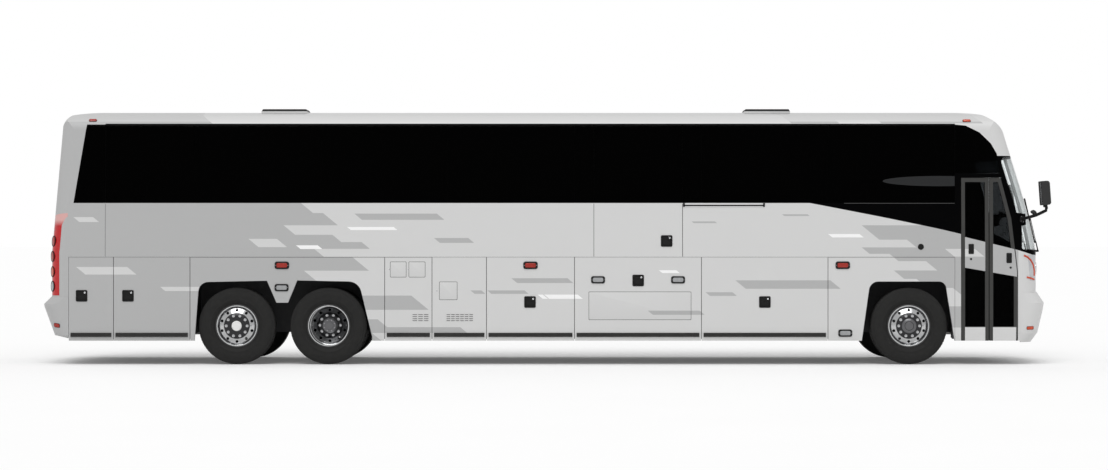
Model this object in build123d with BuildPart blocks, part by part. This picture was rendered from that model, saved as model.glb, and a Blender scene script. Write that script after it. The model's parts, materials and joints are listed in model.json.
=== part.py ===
"""Three-axle touring coach: a hollow body on a steered front axle, a twin-tyred drive axle and a tag axle.

Frame: +X forward, +Y to the left, +Z up, origin on the ground under the middle of the body. Millimetres.
"""
from build123d import *
from math import cos, radians, sin
import os

os.makedirs("parts", exist_ok=True)

# ---- body: overall sizes ----
LENGTH = 13920  # bumper tip to bumper tip
WIDTH = 2590  # over the side panels
ROOF_Z = 3500  # crown of the roof
SKIRT_Z = 326  # lower edge of the side panels
BELT_Z = 1473  # seam between the lower doors and the upper walls
SILL_Z = 2212  # lower edge of the window band
CANTRAIL_Z = 3301  # upper edge of the window band, and the roof seam
LEAN_Z = 1600  # where the walls start to lean inward
SHOULDER_Z = 3200  # where the walls turn into the roof
LEAN = 43  # how far the walls lean in below the shoulder
SHOULDER_R = 230
SHOULDER_TURN = 84  # degrees from the wall to the foot of the roof's shallow arc
WALL = 40  # thickness of walls, panels and doors
GLASS = 8
FIT = 0.3  # clearance of a piece in its seat
SEAM = 6  # gap between two window panes
DOOR_GAP = 8  # gap between two doors

# ---- body: nose and tail ----
BUMPER_REACH = 110  # how far the bumper tips stand out of the caps
NOSE_SAG = 150  # how far the nose curves back from its middle to its corners
NOSE_CORNER = 250
TAIL_SAG = 80
TAIL_CORNER = 230
CORNER_OVERSHOOT = 4  # the corner arcs start this far outside the walls
COWL_Z = 1541  # foot of the windscreen
NOSE_DOME_X = 5748  # where the roof starts to curve down to the nose
NOSE_DOME = (  # arcs from the roof down to the nose: radius, turn in degrees
    (1002, 30.7),
    (350, 43.2),
)
TAIL_DOME_X = -6250
TAIL_DOME = (
    (682, 26.4),
    (299, 58.6),
)
DOME_TURN = 50  # degrees of turn that cut each dome
NOSE_SEAM_X = 5608  # seam between the walls and the nose cap
TAIL_SEAM_X = -6029  # seam between the walls and the tail cap, above the belt
CORNER_SEAM_X = -6535  # seam between the lower doors and the tail cap
NOSE_BUMPER_TOP_Z = 985
TAIL_BUMPER_TOP_Z = 930
BUMPER_SEAM_X = 6500  # where the front bumper ends on each side

# ---- floor and frames ----
POST = 40  # depth of the door posts behind the panels
POST_WIDTH = 70
DECK_TOP_Z = 1400
DECK_THICK = 60
BAY_FLOOR_Z = 380
BAY_FLOOR_THICK = 40
BULKHEAD = 40
RAIL_Y = 400  # centre of each frame rail
RAIL_WIDTH = 80
RAIL_Z = 700  # underside of the frame rails
RAIL_HEIGHT = 160

# ---- axles and wheels ----
FRONT_AXLE_X = 4982
DRIVE_AXLE_X = -2977
TAG_AXLE_X = -4234
TYRE_R = 528
TYRE_WIDTH = 310
WHEEL_Y = 1105  # middle of the outer tyres
TWIN_GAP = 345  # middle to middle of a pair of twin tyres
BEAD_R = 286
FLANGE_R = 300
BEAD_WIDTH = 230
SPINDLE_R = 50
KINGPIN_Y = 950
KINGPIN_R = 25
HAND_HOLES = 10
HAND_HOLE_R = 20
HAND_HOLE_PCD = 430

half_width = WIDTH / 2
nose_x = LENGTH / 2 - BUMPER_REACH
tail_x = -nose_x
inner_y = half_width - WALL  # inner face of walls and doors
frame_y = inner_y - POST  # inner face of the door posts
deck_z = DECK_TOP_Z - DECK_THICK
SIDES = (("right", -1), ("left", 1))


def finish(builder, name):
    """Label a finished piece and write it out."""
    builder.part.label = name
    export_step(builder.part, f"parts/{name}.step")


def block(x0, x1, y0, y1, z0, z1, mode=Mode.ADD):
    """A rectangular block between its faces, in the piece being built."""
    low_y, high_y = min(y0, y1), max(y0, y1)
    with Locations(((x0 + x1) / 2, (low_y + high_y) / 2, (z0 + z1) / 2)):
        Box(x1 - x0, high_y - low_y, z1 - z0, mode=mode)


def wall_y(z):
    """Half width of the body's outer face at a height."""
    rise = max(z - LEAN_Z, 0)
    return half_width - LEAN * rise / (SHOULDER_Z - LEAN_Z)


def body_section(inset):
    """Cross-section of the body on the YZ plane, its sides and roof set in; an inner one is open below."""
    bottom = SKIRT_Z if inset == 0 else SKIRT_Z - WALL
    with BuildSketch(Plane.YZ) as section:
        with BuildLine():
            top_y = wall_y(SHOULDER_Z)
            side = Polyline((0, bottom), (half_width, bottom), (half_width, LEAN_Z), (top_y, SHOULDER_Z))
            shoulder = JernArc(start=side @ 1, tangent=side % 1, radius=SHOULDER_R, arc_size=SHOULDER_TURN)
            TangentArc(shoulder @ 1, (0, ROOF_Z), tangent=shoulder % 1)
            mirror(about=Plane.YZ)
        make_face()
        if inset:
            offset(amount=-inset, kind=Kind.INTERSECTION)
            with Locations((0, bottom + WALL)):
                Rectangle(WIDTH - 2 * inset, 2 * WALL)
    return section.sketch_local


def cap_plan(z, tip_x, sag, corner, inset):
    """Plan of the nose or tail that tip_x is on, at a height: a shallow arc with rounded corners."""
    way = 1 if tip_x > 0 else -1
    half = wall_y(z) + CORNER_OVERSHOOT - inset
    tip = tip_x - way * inset
    with BuildSketch() as plan:
        with BuildLine():
            arc = ThreePointArc((tip - way * sag, -half), (tip, 0), (tip - way * sag, half))
            Polyline(arc @ 1, (way * LENGTH / 4, half), (way * LENGTH / 4, -half), arc @ 0)
        make_face()
        fillet(plan.vertices().filter_by(lambda v: abs(v.X) > LENGTH / 3), corner - inset)
    return plan.sketch_local


# The nose leans back above the cowl, and the tail leans forward a little.
NOSE_STATIONS = (  # height, setback from the lower nose
    (COWL_Z, 0),
    (2120, 125),
    (2839, 340),
    (3600, 560),
)
TAIL_STATIONS = (  # height, setback from the lower tail
    (COWL_Z, 0),
    (3600, 175),
)


def end_envelope(nose, inset):
    """Solid nose or tail of the body, every face of it set in."""
    way = 1 if nose else -1
    tip = nose_x if nose else tail_x
    sag = NOSE_SAG if nose else TAIL_SAG
    corner = NOSE_CORNER if nose else TAIL_CORNER
    stations = NOSE_STATIONS if nose else TAIL_STATIONS
    dome_x = NOSE_DOME_X if nose else TAIL_DOME_X
    dome = NOSE_DOME if nose else TAIL_DOME
    bottom = SKIRT_Z if inset == 0 else SKIRT_Z - WALL
    with BuildPart() as envelope:
        for height, setback in stations:
            with BuildSketch(Plane.XY.offset(height)):
                add(cap_plan(height, tip - way * setback, sag, corner, inset))
        loft()
        with BuildSketch(Plane.XY.offset(bottom)):
            add(cap_plan(0, tip, sag, corner, inset))
        extrude(amount=COWL_Z - bottom)
        with BuildSketch(Plane.YZ.offset(way * LENGTH / 4)):
            add(body_section(inset))
        extrude(amount=way * LENGTH / 3, mode=Mode.INTERSECT)
        # The dome is turned about the middle of the nose's or tail's own curve in plan.
        half = half_width + CORNER_OVERSHOOT
        pivot_x = tip - way * (half**2 + sag**2) / (2 * sag)
        along, across = cos(radians(DOME_TURN / 2)), -sin(radians(DOME_TURN / 2))
        corner_of_plane = (pivot_x * (1 - along), -pivot_x * across, 0)
        top = ROOF_Z - inset
        with BuildSketch(Plane(origin=corner_of_plane, x_dir=(along, across, 0), z_dir=(across, -along, 0))):
            with BuildLine():
                foot, tangent = (dome_x, top), (way, 0)
                for radius, turn in dome:
                    arc = JernArc(start=foot, tangent=tangent, radius=radius - inset, arc_size=-way * turn)
                    foot, tangent = arc @ 1, arc % 1
                Polyline(
                    foot,
                    (way * LENGTH / 2, foot.Y),
                    (way * LENGTH / 2, ROOF_Z + WALL),
                    (dome_x, ROOF_Z + WALL),
                    (dome_x, top),
                )
            make_face()
        revolve(axis=Axis((pivot_x, 0, 0), (0, 0, 1)), revolution_arc=DOME_TURN, mode=Mode.SUBTRACT)
    return envelope.part


def end_shell(nose, outer_inset, inner_inset):
    """Skin of the nose or the tail between two insets."""
    with BuildPart() as shell:
        add(end_envelope(nose, outer_inset))
        add(end_envelope(nose, inner_inset), mode=Mode.SUBTRACT)
    return shell.part


def side_skin(x0, x1, outer_inset, inner_inset):
    """Skin of the body's straight length between two insets, both sides and the roof."""
    with BuildPart() as skin:
        with BuildSketch(Plane.YZ.offset(x0)):
            add(body_section(outer_inset))
            add(body_section(inner_inset), mode=Mode.SUBTRACT)
        extrude(amount=x1 - x0)
    return skin.part


nose_skin = end_shell(True, 0, WALL)
nose_glass = end_shell(True, 0, GLASS)
tail_skin = end_shell(False, 0, WALL)
tail_glass = end_shell(False, 0, GLASS)

# ---- window panes: ends along the body, one row for each side ----
PANES = {
    "right": (-6029, -4810, -3070, -1344, 396, 663, 1875, 2135, 3868, 5608),
    "left": (-6029, -4810, -3070, -1344, 396, 2135, 3868, 5608),
}
PILLAR = 90  # width of the posts behind the panes
BAND_FRAME = 50  # height of the wall left above and below each opening
LIFT_DOOR = (663, 1875)  # ends of the lift door, on the right side only

# ---- outlines on the XZ plane ----
DOOR_TOP_Z = 2562
DOOR_BOTTOM_Z = 316
DOOR_BACK_X = 5690
DOOR_FRONT_X = 6470
DOOR_OUTLINE = (  # the entry door's opening
    (DOOR_BACK_X, DOOR_BOTTOM_Z),
    (DOOR_FRONT_X, DOOR_BOTTOM_Z),
    (DOOR_FRONT_X, 1267),
    (6385, 2000),
    (6240, DOOR_TOP_Z),
    (DOOR_BACK_X, DOOR_TOP_Z),
)
QUARTER_BACK_X = NOSE_SEAM_X + SEAM
QUARTER_TOP = (  # upper and front edge of the side glass beside the windscreen
    (QUARTER_BACK_X, 3290),
    (5760, 3275),
    (5951, 3180),
    (6105, 3030),
    (6184, 2890),
)
QUARTER_OUTLINE = {
    "right": QUARTER_TOP + ((6230, DOOR_TOP_Z + 60), (QUARTER_BACK_X, DOOR_TOP_Z + 60)),
    "left": QUARTER_TOP + ((6240, DOOR_TOP_Z), (6395, 1900), (6400, 1800), (QUARTER_BACK_X, 1800)),
}
TAIL_QUARTER = ((TAIL_SEAM_X - SEAM, SILL_Z), (TAIL_SEAM_X - SEAM, 3290), (-6290, 3290), (-6470, SILL_Z))

SCREEN_POST = 50  # centre post between the windscreen halves
SCREEN_OUTLINE = (  # the windscreen's opening, stepped forward round each mirror's foot
    (6526, 1570),
    (6526, 1900),
    (6590, 1915),
    (6590, 2065),
    (6455, 2080),
    (6225, 2840),
    (LENGTH / 2, 2840),
    (LENGTH / 2, 1570),
)
SCREEN_ROUNDS = (  # corners of it that are rounded: along the body, height, radius
    (6526, 1570, 40),
    (6225, 2840, 60),
)

# ---- outlines on the YZ plane, for the left side ----
HEAD_LAMP = ((720, 1200), (720, 1400), (1080, 1500), (1275, 1505), (1255, 1150), (1000, 1150))
TAIL_LAMP = ((1060, 945), (1060, 2030), (1291, 2075), (1268, 1905), (1277, 1600), (1277, 945))
HEAD_LAMP_BACK_X = 6525  # how far the head lamps reach back round the corners
TAIL_LAMP_FRONT_X = -6546
ENGINE_DOOR_HALF = 820
ENGINE_DOOR_Z = (960, 2040)


def side_prism(outline, side, shrink=0, rounds=()):
    """A prism through one side, from an outline on the XZ plane with some corners rounded, then shrunk."""
    with BuildPart() as prism:
        with BuildSketch(Plane.XZ) as face:
            Polygon(*outline, align=None)
            for x, z, radius in rounds:
                fillet(face.vertices().sort_by_distance((x, z))[0], radius)
            if shrink:
                offset(amount=-shrink, kind=Kind.INTERSECTION)
        extrude(amount=-side * WIDTH)
    return prism.part


def end_prism(outline, side, start_x, shrink=0):
    """A prism from start_x out through the nose or tail, from an outline on the YZ plane, then shrunk."""
    with BuildPart() as prism:
        with BuildSketch(Plane.YZ.offset(start_x + shrink if start_x > 0 else start_x - shrink)):
            Polygon(*[(side * y, z) for y, z in outline], align=None)
            if shrink:
                offset(amount=-shrink, kind=Kind.INTERSECTION)
        extrude(amount=start_x)
    return prism.part


def screen_prism(side, shrink=0):
    """A prism through one half of the windscreen, from its centre post round to the side."""
    with BuildPart() as prism:
        add(side_prism(SCREEN_OUTLINE, side, shrink, SCREEN_ROUNDS))
        half_post = SCREEN_POST / 2 + shrink
        block(0, LENGTH, -half_post, half_post, 0, ROOF_Z, mode=Mode.SUBTRACT)
    return prism.part


# ---- roof, with a raised curb round each hatch ----
HATCHES = (("rear", -3670), ("front", 3108))  # name, middle along the body
HATCH_SIZE = 640
HATCH_CURB = 40
HATCH_SEAT_Z = ROOF_Z + 10
HATCH_HEIGHT = 30

with BuildPart() as roof:
    add(side_skin(TAIL_SEAM_X, NOSE_SEAM_X, 0, WALL))
    block(TAIL_SEAM_X, NOSE_SEAM_X, -WIDTH, WIDTH, 0, CANTRAIL_Z, mode=Mode.SUBTRACT)
    for name, middle in HATCHES:
        with BuildSketch(Plane.XY.offset(ROOF_Z - WALL / 2)):
            with Locations((middle, 0)):
                Rectangle(HATCH_SIZE, HATCH_SIZE)
        extrude(amount=HATCH_SEAT_Z - ROOF_Z + WALL / 2)
        hole = HATCH_SIZE / 2 - HATCH_CURB
        block(middle - hole, middle + hole, -hole, hole, CANTRAIL_Z, ROOF_Z + WALL, mode=Mode.SUBTRACT)
finish(roof, "roof")

for name, middle in HATCHES:
    with BuildPart() as hatch:
        with BuildSketch(Plane.XY.offset(HATCH_SEAT_Z + FIT)):
            with Locations((middle, 0)):
                RectangleRounded(HATCH_SIZE, HATCH_SIZE, HATCH_CURB)
        extrude(amount=HATCH_HEIGHT, taper=30)
    finish(hatch, f"roof_hatch_{name}")

# ---- upper walls: a recessed band with an opening behind each pane ----
BAND_RECESS = GLASS + FIT

with BuildPart() as band_recess:
    add(side_skin(TAIL_SEAM_X, NOSE_SEAM_X, 0, BAND_RECESS))
    block(TAIL_SEAM_X, NOSE_SEAM_X, -WIDTH, WIDTH, 0, SILL_Z, mode=Mode.SUBTRACT)
    block(TAIL_SEAM_X, NOSE_SEAM_X, -WIDTH, WIDTH, CANTRAIL_Z, ROOF_Z + WALL, mode=Mode.SUBTRACT)

for side_name, side in SIDES:
    panes = PANES[side_name]
    with BuildPart() as wall:
        add(side_skin(TAIL_SEAM_X, NOSE_SEAM_X, 0, WALL))
        block(TAIL_SEAM_X, NOSE_SEAM_X, -side * WIDTH, 0, 0, ROOF_Z, mode=Mode.SUBTRACT)
        block(TAIL_SEAM_X, NOSE_SEAM_X, 0, side * WIDTH, 0, BELT_Z, mode=Mode.SUBTRACT)
        block(TAIL_SEAM_X, NOSE_SEAM_X, 0, side * WIDTH, CANTRAIL_Z, ROOF_Z + WALL, mode=Mode.SUBTRACT)
        add(band_recess.part, mode=Mode.SUBTRACT)
        for back, front in zip(panes, panes[1:]):
            block(
                back + PILLAR / 2,
                front - PILLAR / 2,
                0,
                side * WIDTH,
                SILL_Z + BAND_FRAME,
                CANTRAIL_Z - BAND_FRAME,
                mode=Mode.SUBTRACT,
            )
        if side_name == "right":
            block(LIFT_DOOR[0], LIFT_DOOR[1], 0, side * WIDTH, 0, ROOF_Z, mode=Mode.SUBTRACT)
    finish(wall, f"wall_{side_name}")

# ---- lift door: slides out and back along the wall, with a pane of its own ----
with BuildPart() as lift_door:
    add(side_skin(LIFT_DOOR[0] + FIT, LIFT_DOOR[1] - FIT, 0, WALL))
    block(LIFT_DOOR[0], LIFT_DOOR[1], 0, WIDTH, 0, ROOF_Z, mode=Mode.SUBTRACT)
    block(LIFT_DOOR[0], LIFT_DOOR[1], -WIDTH, 0, 0, BELT_Z, mode=Mode.SUBTRACT)
    block(LIFT_DOOR[0], LIFT_DOOR[1], -WIDTH, 0, CANTRAIL_Z - FIT, ROOF_Z + WALL, mode=Mode.SUBTRACT)
    add(band_recess.part, mode=Mode.SUBTRACT)
    block(
        LIFT_DOOR[0] + PILLAR,
        LIFT_DOOR[1] - PILLAR,
        -WIDTH,
        0,
        SILL_Z + BAND_FRAME,
        CANTRAIL_Z - BAND_FRAME,
        mode=Mode.SUBTRACT,
    )
finish(lift_door, "lift_door")

# ---- nose cap: skin from the wall seam forward, with its door, windows and lamps cut out ----
with BuildPart() as nose_cap:
    add(nose_skin)
    block(0, NOSE_SEAM_X, -WIDTH, WIDTH, 0, ROOF_Z + WALL, mode=Mode.SUBTRACT)
    block(BUMPER_SEAM_X, LENGTH, -WIDTH, WIDTH, 0, NOSE_BUMPER_TOP_Z, mode=Mode.SUBTRACT)
    add(side_prism(DOOR_OUTLINE, -1), mode=Mode.SUBTRACT)
    block(DOOR_BACK_X, DOOR_FRONT_X, -WIDTH, 0, 0, DOOR_BOTTOM_Z, mode=Mode.SUBTRACT)
    for side_name, side in SIDES:
        add(side_prism(QUARTER_OUTLINE[side_name], side), mode=Mode.SUBTRACT)
        add(screen_prism(side), mode=Mode.SUBTRACT)
        add(end_prism(HEAD_LAMP, side, HEAD_LAMP_BACK_X), mode=Mode.SUBTRACT)
finish(nose_cap, "nose_cap")

with BuildPart() as windscreen:
    for side_name, side in SIDES:
        add(screen_prism(side, FIT))
    add(nose_glass, mode=Mode.INTERSECT)
finish(windscreen, "windscreen")

with BuildPart() as head_lamps:
    for side_name, side in SIDES:
        add(end_prism(HEAD_LAMP, side, HEAD_LAMP_BACK_X, FIT))
    add(nose_skin, mode=Mode.INTERSECT)
finish(head_lamps, "head_lamps")

# ---- tail cap ----
with BuildPart() as tail_cap:
    add(tail_skin)
    block(TAIL_SEAM_X, 0, -WIDTH, WIDTH, 0, ROOF_Z + WALL, mode=Mode.SUBTRACT)
    block(CORNER_SEAM_X, 0, -WIDTH, WIDTH, 0, BELT_Z, mode=Mode.SUBTRACT)
    block(-LENGTH, 0, -WIDTH, WIDTH, 0, TAIL_BUMPER_TOP_Z, mode=Mode.SUBTRACT)
    low, high = ENGINE_DOOR_Z
    block(-LENGTH, tail_x / 2, -ENGINE_DOOR_HALF, ENGINE_DOOR_HALF, low, high, mode=Mode.SUBTRACT)
    for side_name, side in SIDES:
        add(side_prism(TAIL_QUARTER, side), mode=Mode.SUBTRACT)
        add(end_prism(TAIL_LAMP, side, TAIL_LAMP_FRONT_X), mode=Mode.SUBTRACT)
finish(tail_cap, "tail_cap")

with BuildPart() as tail_lamps:
    for side_name, side in SIDES:
        add(end_prism(TAIL_LAMP, side, TAIL_LAMP_FRONT_X, FIT))
    add(tail_skin, mode=Mode.INTERSECT)
finish(tail_lamps, "tail_lamps")

# ---- side panes: the straight band, and the shaped panes in the two caps ----
with BuildPart() as nose_panes:
    for side_name, side in SIDES:
        add(side_prism(QUARTER_OUTLINE[side_name], side, FIT))
    add(nose_glass, mode=Mode.INTERSECT)

with BuildPart() as tail_panes:
    for side_name, side in SIDES:
        add(side_prism(TAIL_QUARTER, side, FIT))
    add(tail_glass, mode=Mode.INTERSECT)

with BuildPart() as side_panes:
    for side_name, side in SIDES:
        panes = PANES[side_name]
        for back, front in zip(panes, panes[1:]):
            low_y, high_y = (0, WIDTH) if side > 0 else (-WIDTH, 0)
            block(back + SEAM / 2, front - SEAM / 2, low_y, high_y, SILL_Z + FIT, CANTRAIL_Z - FIT)
    add(side_skin(TAIL_SEAM_X, NOSE_SEAM_X, 0, GLASS), mode=Mode.INTERSECT)
    add(nose_panes.part)
    add(tail_panes.part)
finish(side_panes, "side_panes")

# ---- bumpers: ruled skins round each end ----
NOSE_BUMPER = (  # height, setback from the tip
    (306, 180),
    (433, 87),
    (750, 13),
    (840, 0),
    (NOSE_BUMPER_TOP_Z - FIT, 97),
)
TAIL_BUMPER = (
    (356, 320),
    (397, 150),
    (786, 7),
    (826, 0),
    (TAIL_BUMPER_TOP_Z - FIT, 105),
)

with BuildPart() as bumpers:
    for way, stations, seam_x, sag, corner in (
        (1, NOSE_BUMPER, BUMPER_SEAM_X, NOSE_SAG, NOSE_CORNER),
        (-1, TAIL_BUMPER, CORNER_SEAM_X, TAIL_SAG, TAIL_CORNER),
    ):
        for inset, mode in ((0, Mode.ADD), (WALL, Mode.SUBTRACT)):
            for height, setback in stations:
                with BuildSketch(Plane.XY.offset(height)):
                    add(cap_plan(0, way * (LENGTH / 2 - setback), sag, corner, inset))
            loft(ruled=True, mode=mode)
    block(CORNER_SEAM_X, BUMPER_SEAM_X, -WIDTH, WIDTH, 0, ROOF_Z, mode=Mode.SUBTRACT)
finish(bumpers, "bumpers")

# ---- lower doors and fixed panels: ends along the body ----
RUB_RAIL_Z = (378, 434)
RUB_RAIL_PROUD = 12
RUB_RAIL_END = 25  # how far each length of rail stops short of its panel's ends
PAN_DEPTH = 22  # depth of the pressed pan inside each door
PAN_BORDER = 70
BOTH = ("right", "left")
TAIL_DOOR_X = (-5919, -4871)
STEP_PANEL_X = (-2204, -1556)
REAR_BAY_X = (-810, 396)
FRONT_BAY_X = (2135, 3868)
LOWER_DOORS = (  # name, back end, front end, sides it is on
    ("corner", CORNER_SEAM_X, TAIL_DOOR_X[0], ("right",)),
    ("tail", *TAIL_DOOR_X, BOTH),
    ("service", STEP_PANEL_X[1], REAR_BAY_X[0], BOTH),
    ("rear_bay", *REAR_BAY_X, BOTH),
    ("middle_bay", REAR_BAY_X[1], FRONT_BAY_X[0], BOTH),
    ("front_bay", *FRONT_BAY_X, BOTH),
)
REAR_ARCH = (  # opening over the drive and tag wheels, with a tongue between them, on the XZ plane
    (-4807, 0),
    (-4807, 350),
    (-4749, 1128),
    (-3817, 1148),
    (-3686, 847),
    (-3529, 847),
    (-3403, 1152),
    (-2558, 1135),
    (-2375, 380),
    (-2375, 0),
)
REAR_ARCH_ROUNDS = (
    (-4749, 1128, 140),
    (-2558, 1135, 180),
)
FRONT_ARCH = (
    (4331, 0),
    (4331, 325),
    (4446, 1137),
    (5475, 1137),
    (5606, 310),
    (5606, 0),
)
FRONT_ARCH_ROUNDS = (
    (4446, 1137, 130),
    (5475, 1137, 100),
)


def lower_panel(back, front, side, top):
    """A panel with its piece of rub rail, pressed hollow on its inner side."""
    with BuildPart() as panel:
        block(back, front, side * inner_y, side * half_width, SKIRT_Z, top)
        rail_y = side * (half_width + RUB_RAIL_PROUD)
        block(back + RUB_RAIL_END, front - RUB_RAIL_END, side * half_width, rail_y, *RUB_RAIL_Z)
        block(
            back + PAN_BORDER,
            front - PAN_BORDER,
            side * inner_y,
            side * (inner_y + PAN_DEPTH),
            SKIRT_Z + PAN_BORDER,
            top - PAN_BORDER,
            mode=Mode.SUBTRACT,
        )
    return panel.part


for name, back, front, sides in LOWER_DOORS:
    for side_name, side in SIDES:
        if side_name in sides:
            with BuildPart() as door:
                add(lower_panel(back + DOOR_GAP / 2, front - DOOR_GAP / 2, side, BELT_Z - DOOR_GAP / 2))
            finish(door, f"{name}_door_{side_name}")

ARCH_PANELS = (  # back end, front end, opening, its rounded corners
    (TAIL_DOOR_X[1], STEP_PANEL_X[0], REAR_ARCH, REAR_ARCH_ROUNDS),
    (FRONT_BAY_X[1], NOSE_SEAM_X, FRONT_ARCH, FRONT_ARCH_ROUNDS),
)
FIXED_PANELS = (  # back end, front end, sides it is on
    (*STEP_PANEL_X, BOTH),
    (CORNER_SEAM_X, TAIL_DOOR_X[0], ("left",)),
)
half_gap = DOOR_GAP / 2

with BuildPart() as lower_panels:
    for side_name, side in SIDES:
        for back, front, arch, rounds in ARCH_PANELS:
            block(back + half_gap, front - half_gap, side * inner_y, side * half_width, SKIRT_Z, BELT_Z - SEAM)
            add(side_prism(arch, side, rounds=rounds), mode=Mode.SUBTRACT)
        for back, front, sides in FIXED_PANELS:
            if side_name in sides:
                add(lower_panel(back + half_gap, front - half_gap, side, BELT_Z - SEAM))
finish(lower_panels, "lower_panels")

# ---- entry door: two leaves, hinged at their outer edges ----
DOOR_SPLIT_X = 6075
DOOR_STILE = 50
LEAF_GAP = 12  # gap round each leaf
LEAF_HINGE_Z = (420, 1220)  # the hinge strip's ends
LEAF_GLASS_Z = (514, 2500)  # bottom of the lower window, top of the upper one
LEAF_BELT = (  # sloping panel between the two windows
    (5690, 1337),
    (6500, 1195),
    (6500, 1561),
    (5690, 1761),
)

for name, cut_back, cut_front, hinge_back in (  # name, what is cut away, and the back of the hinge strip
    ("rear", DOOR_SPLIT_X - LEAF_GAP / 2, LENGTH, DOOR_BACK_X + FIT),
    ("front", 0, DOOR_SPLIT_X + LEAF_GAP / 2, DOOR_FRONT_X - FIT - LEAF_GAP),
):
    with BuildPart() as opening_shape:
        add(side_prism(DOOR_OUTLINE, -1, LEAF_GAP / 2))
        block(cut_back, cut_front, -WIDTH, WIDTH, 0, ROOF_Z, mode=Mode.SUBTRACT)
    with BuildPart() as light:
        add(side_prism(DOOR_OUTLINE, -1, LEAF_GAP / 2 + DOOR_STILE))
        block(cut_back - DOOR_STILE, cut_front + DOOR_STILE, -WIDTH, WIDTH, 0, ROOF_Z, mode=Mode.SUBTRACT)
        block(0, LENGTH, -WIDTH, 0, 0, LEAF_GLASS_Z[0], mode=Mode.SUBTRACT)
        add(side_prism(LEAF_BELT, -1), mode=Mode.SUBTRACT)
        block(0, LENGTH, -WIDTH, 0, LEAF_GLASS_Z[1], ROOF_Z, mode=Mode.SUBTRACT)
    with BuildPart() as leaf:
        add(nose_skin)
        add(opening_shape.part, mode=Mode.INTERSECT)
        add(light.part, mode=Mode.SUBTRACT)
        block(hinge_back, hinge_back + LEAF_GAP, -half_width, -inner_y, *LEAF_HINGE_Z)
    finish(leaf, f"entry_leaf_{name}")
    with BuildPart() as leaf_glass:
        add(nose_glass)
        add(light.part, mode=Mode.INTERSECT)
    finish(leaf_glass, f"entry_glass_{name}")

# ---- engine door: a curved lid with a louvred grille ----
GRILLE = (560, 1480, 1900)  # half width, bottom, top
LOUVRES = 9
LOUVRE_DEPTH = 34
LOUVRE_THICK = 5
LOUVRE_TILT = 35

with BuildPart() as engine_door:
    low, high = ENGINE_DOOR_Z
    half = ENGINE_DOOR_HALF - DOOR_GAP
    block(-LENGTH, tail_x / 2, -half, half, low + DOOR_GAP, high - FIT)
    add(tail_skin, mode=Mode.INTERSECT)
    grille_half, grille_low, grille_high = GRILLE
    block(-LENGTH, tail_x / 2, -grille_half, grille_half, grille_low, grille_high, mode=Mode.SUBTRACT)
    pitch = (grille_high - grille_low) / LOUVRES
    for row in range(LOUVRES):
        height = grille_low + (row + 0.5) * pitch
        setback = TAIL_STATIONS[1][1] * max(height - COWL_Z, 0) / (TAIL_STATIONS[1][0] - COWL_Z)
        middle_x = tail_x + setback + WALL / 2 + TAIL_SAG / 4
        with Locations(Location((middle_x, 0, height), (0, LOUVRE_TILT, 0))):
            Box(LOUVRE_DEPTH, 2 * grille_half, LOUVRE_THICK)
finish(engine_door, "engine_door")

# ---- belt rails: one each side, with the door posts under them ----
POSTS_X = (-6480, *TAIL_DOOR_X, *STEP_PANEL_X, *REAR_BAY_X, *FRONT_BAY_X, NOSE_SEAM_X)
BELT_RAIL_Z = (BELT_Z - 60, BELT_Z + 40)
POST_FOOT_Z = 350

with BuildPart() as belt_rails:
    for side_name, side in SIDES:
        block(POSTS_X[0], POSTS_X[-1], side * frame_y, side * (inner_y - FIT), *BELT_RAIL_Z)
finish(belt_rails, "belt_rails")

with BuildPart() as door_posts:
    for side_name, side in SIDES:
        for post_x in POSTS_X:
            low_y, high_y = side * frame_y, side * (inner_y - FIT)
            half_post = POST_WIDTH / 2
            block(post_x - half_post, post_x + half_post, low_y, high_y, POST_FOOT_Z, BELT_RAIL_Z[0] - FIT)
finish(door_posts, "door_posts")

# ---- floor deck, with the stairwell behind the entry door ----
DECK_BACK_X = -6440
DECK_FRONT_X = 6480
STAIR_WALL = 30
STAIR_INNER_Y = 500  # inner edge of the top stair
FIRST_STAIR_Z = 370
STAIRS = 3
stair_rise = (DECK_TOP_Z - FIRST_STAIR_Z) / STAIRS
stair_going = (frame_y - STAIR_INNER_Y) / STAIRS

with BuildPart() as floor_deck:
    block(DECK_BACK_X, DECK_FRONT_X, -frame_y, frame_y, deck_z, DECK_TOP_Z)
    block(DOOR_BACK_X, DOOR_FRONT_X, -WIDTH, -STAIR_INNER_Y, 0, ROOF_Z, mode=Mode.SUBTRACT)
    foot_z = FIRST_STAIR_Z - STAIR_WALL
    for wall_x in (DOOR_BACK_X - STAIR_WALL, DOOR_FRONT_X):
        block(wall_x, wall_x + STAIR_WALL, -frame_y, -STAIR_INNER_Y + STAIR_WALL, foot_z, deck_z)
    for stair in range(STAIRS):
        tread_z = FIRST_STAIR_Z + stair * stair_rise
        inner = -frame_y + (stair + 1) * stair_going
        under_z = tread_z - STAIR_WALL
        block(DOOR_BACK_X, DOOR_FRONT_X, inner - stair_going, inner + STAIR_WALL, under_z, tread_z)
        block(DOOR_BACK_X, DOOR_FRONT_X, inner, inner + STAIR_WALL, under_z, tread_z + stair_rise)
finish(floor_deck, "floor_deck")

# ---- baggage bay floor, with a bulkhead at each end of each bay ----
BULKHEADS_X = (STEP_PANEL_X[0], *REAR_BAY_X, *FRONT_BAY_X)
bay_floor_top_z = BAY_FLOOR_Z + BAY_FLOOR_THICK

with BuildPart() as bay_floor:
    block(BULKHEADS_X[0], BULKHEADS_X[-1], -frame_y, frame_y, BAY_FLOOR_Z, bay_floor_top_z)
finish(bay_floor, "bay_floor")

with BuildPart() as bulkheads:
    for wall_x in BULKHEADS_X:
        back, front = wall_x - BULKHEAD / 2, wall_x + BULKHEAD / 2
        block(back, front, -frame_y, frame_y, bay_floor_top_z + FIT, deck_z - FIT)
finish(bulkheads, "bulkheads")

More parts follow.
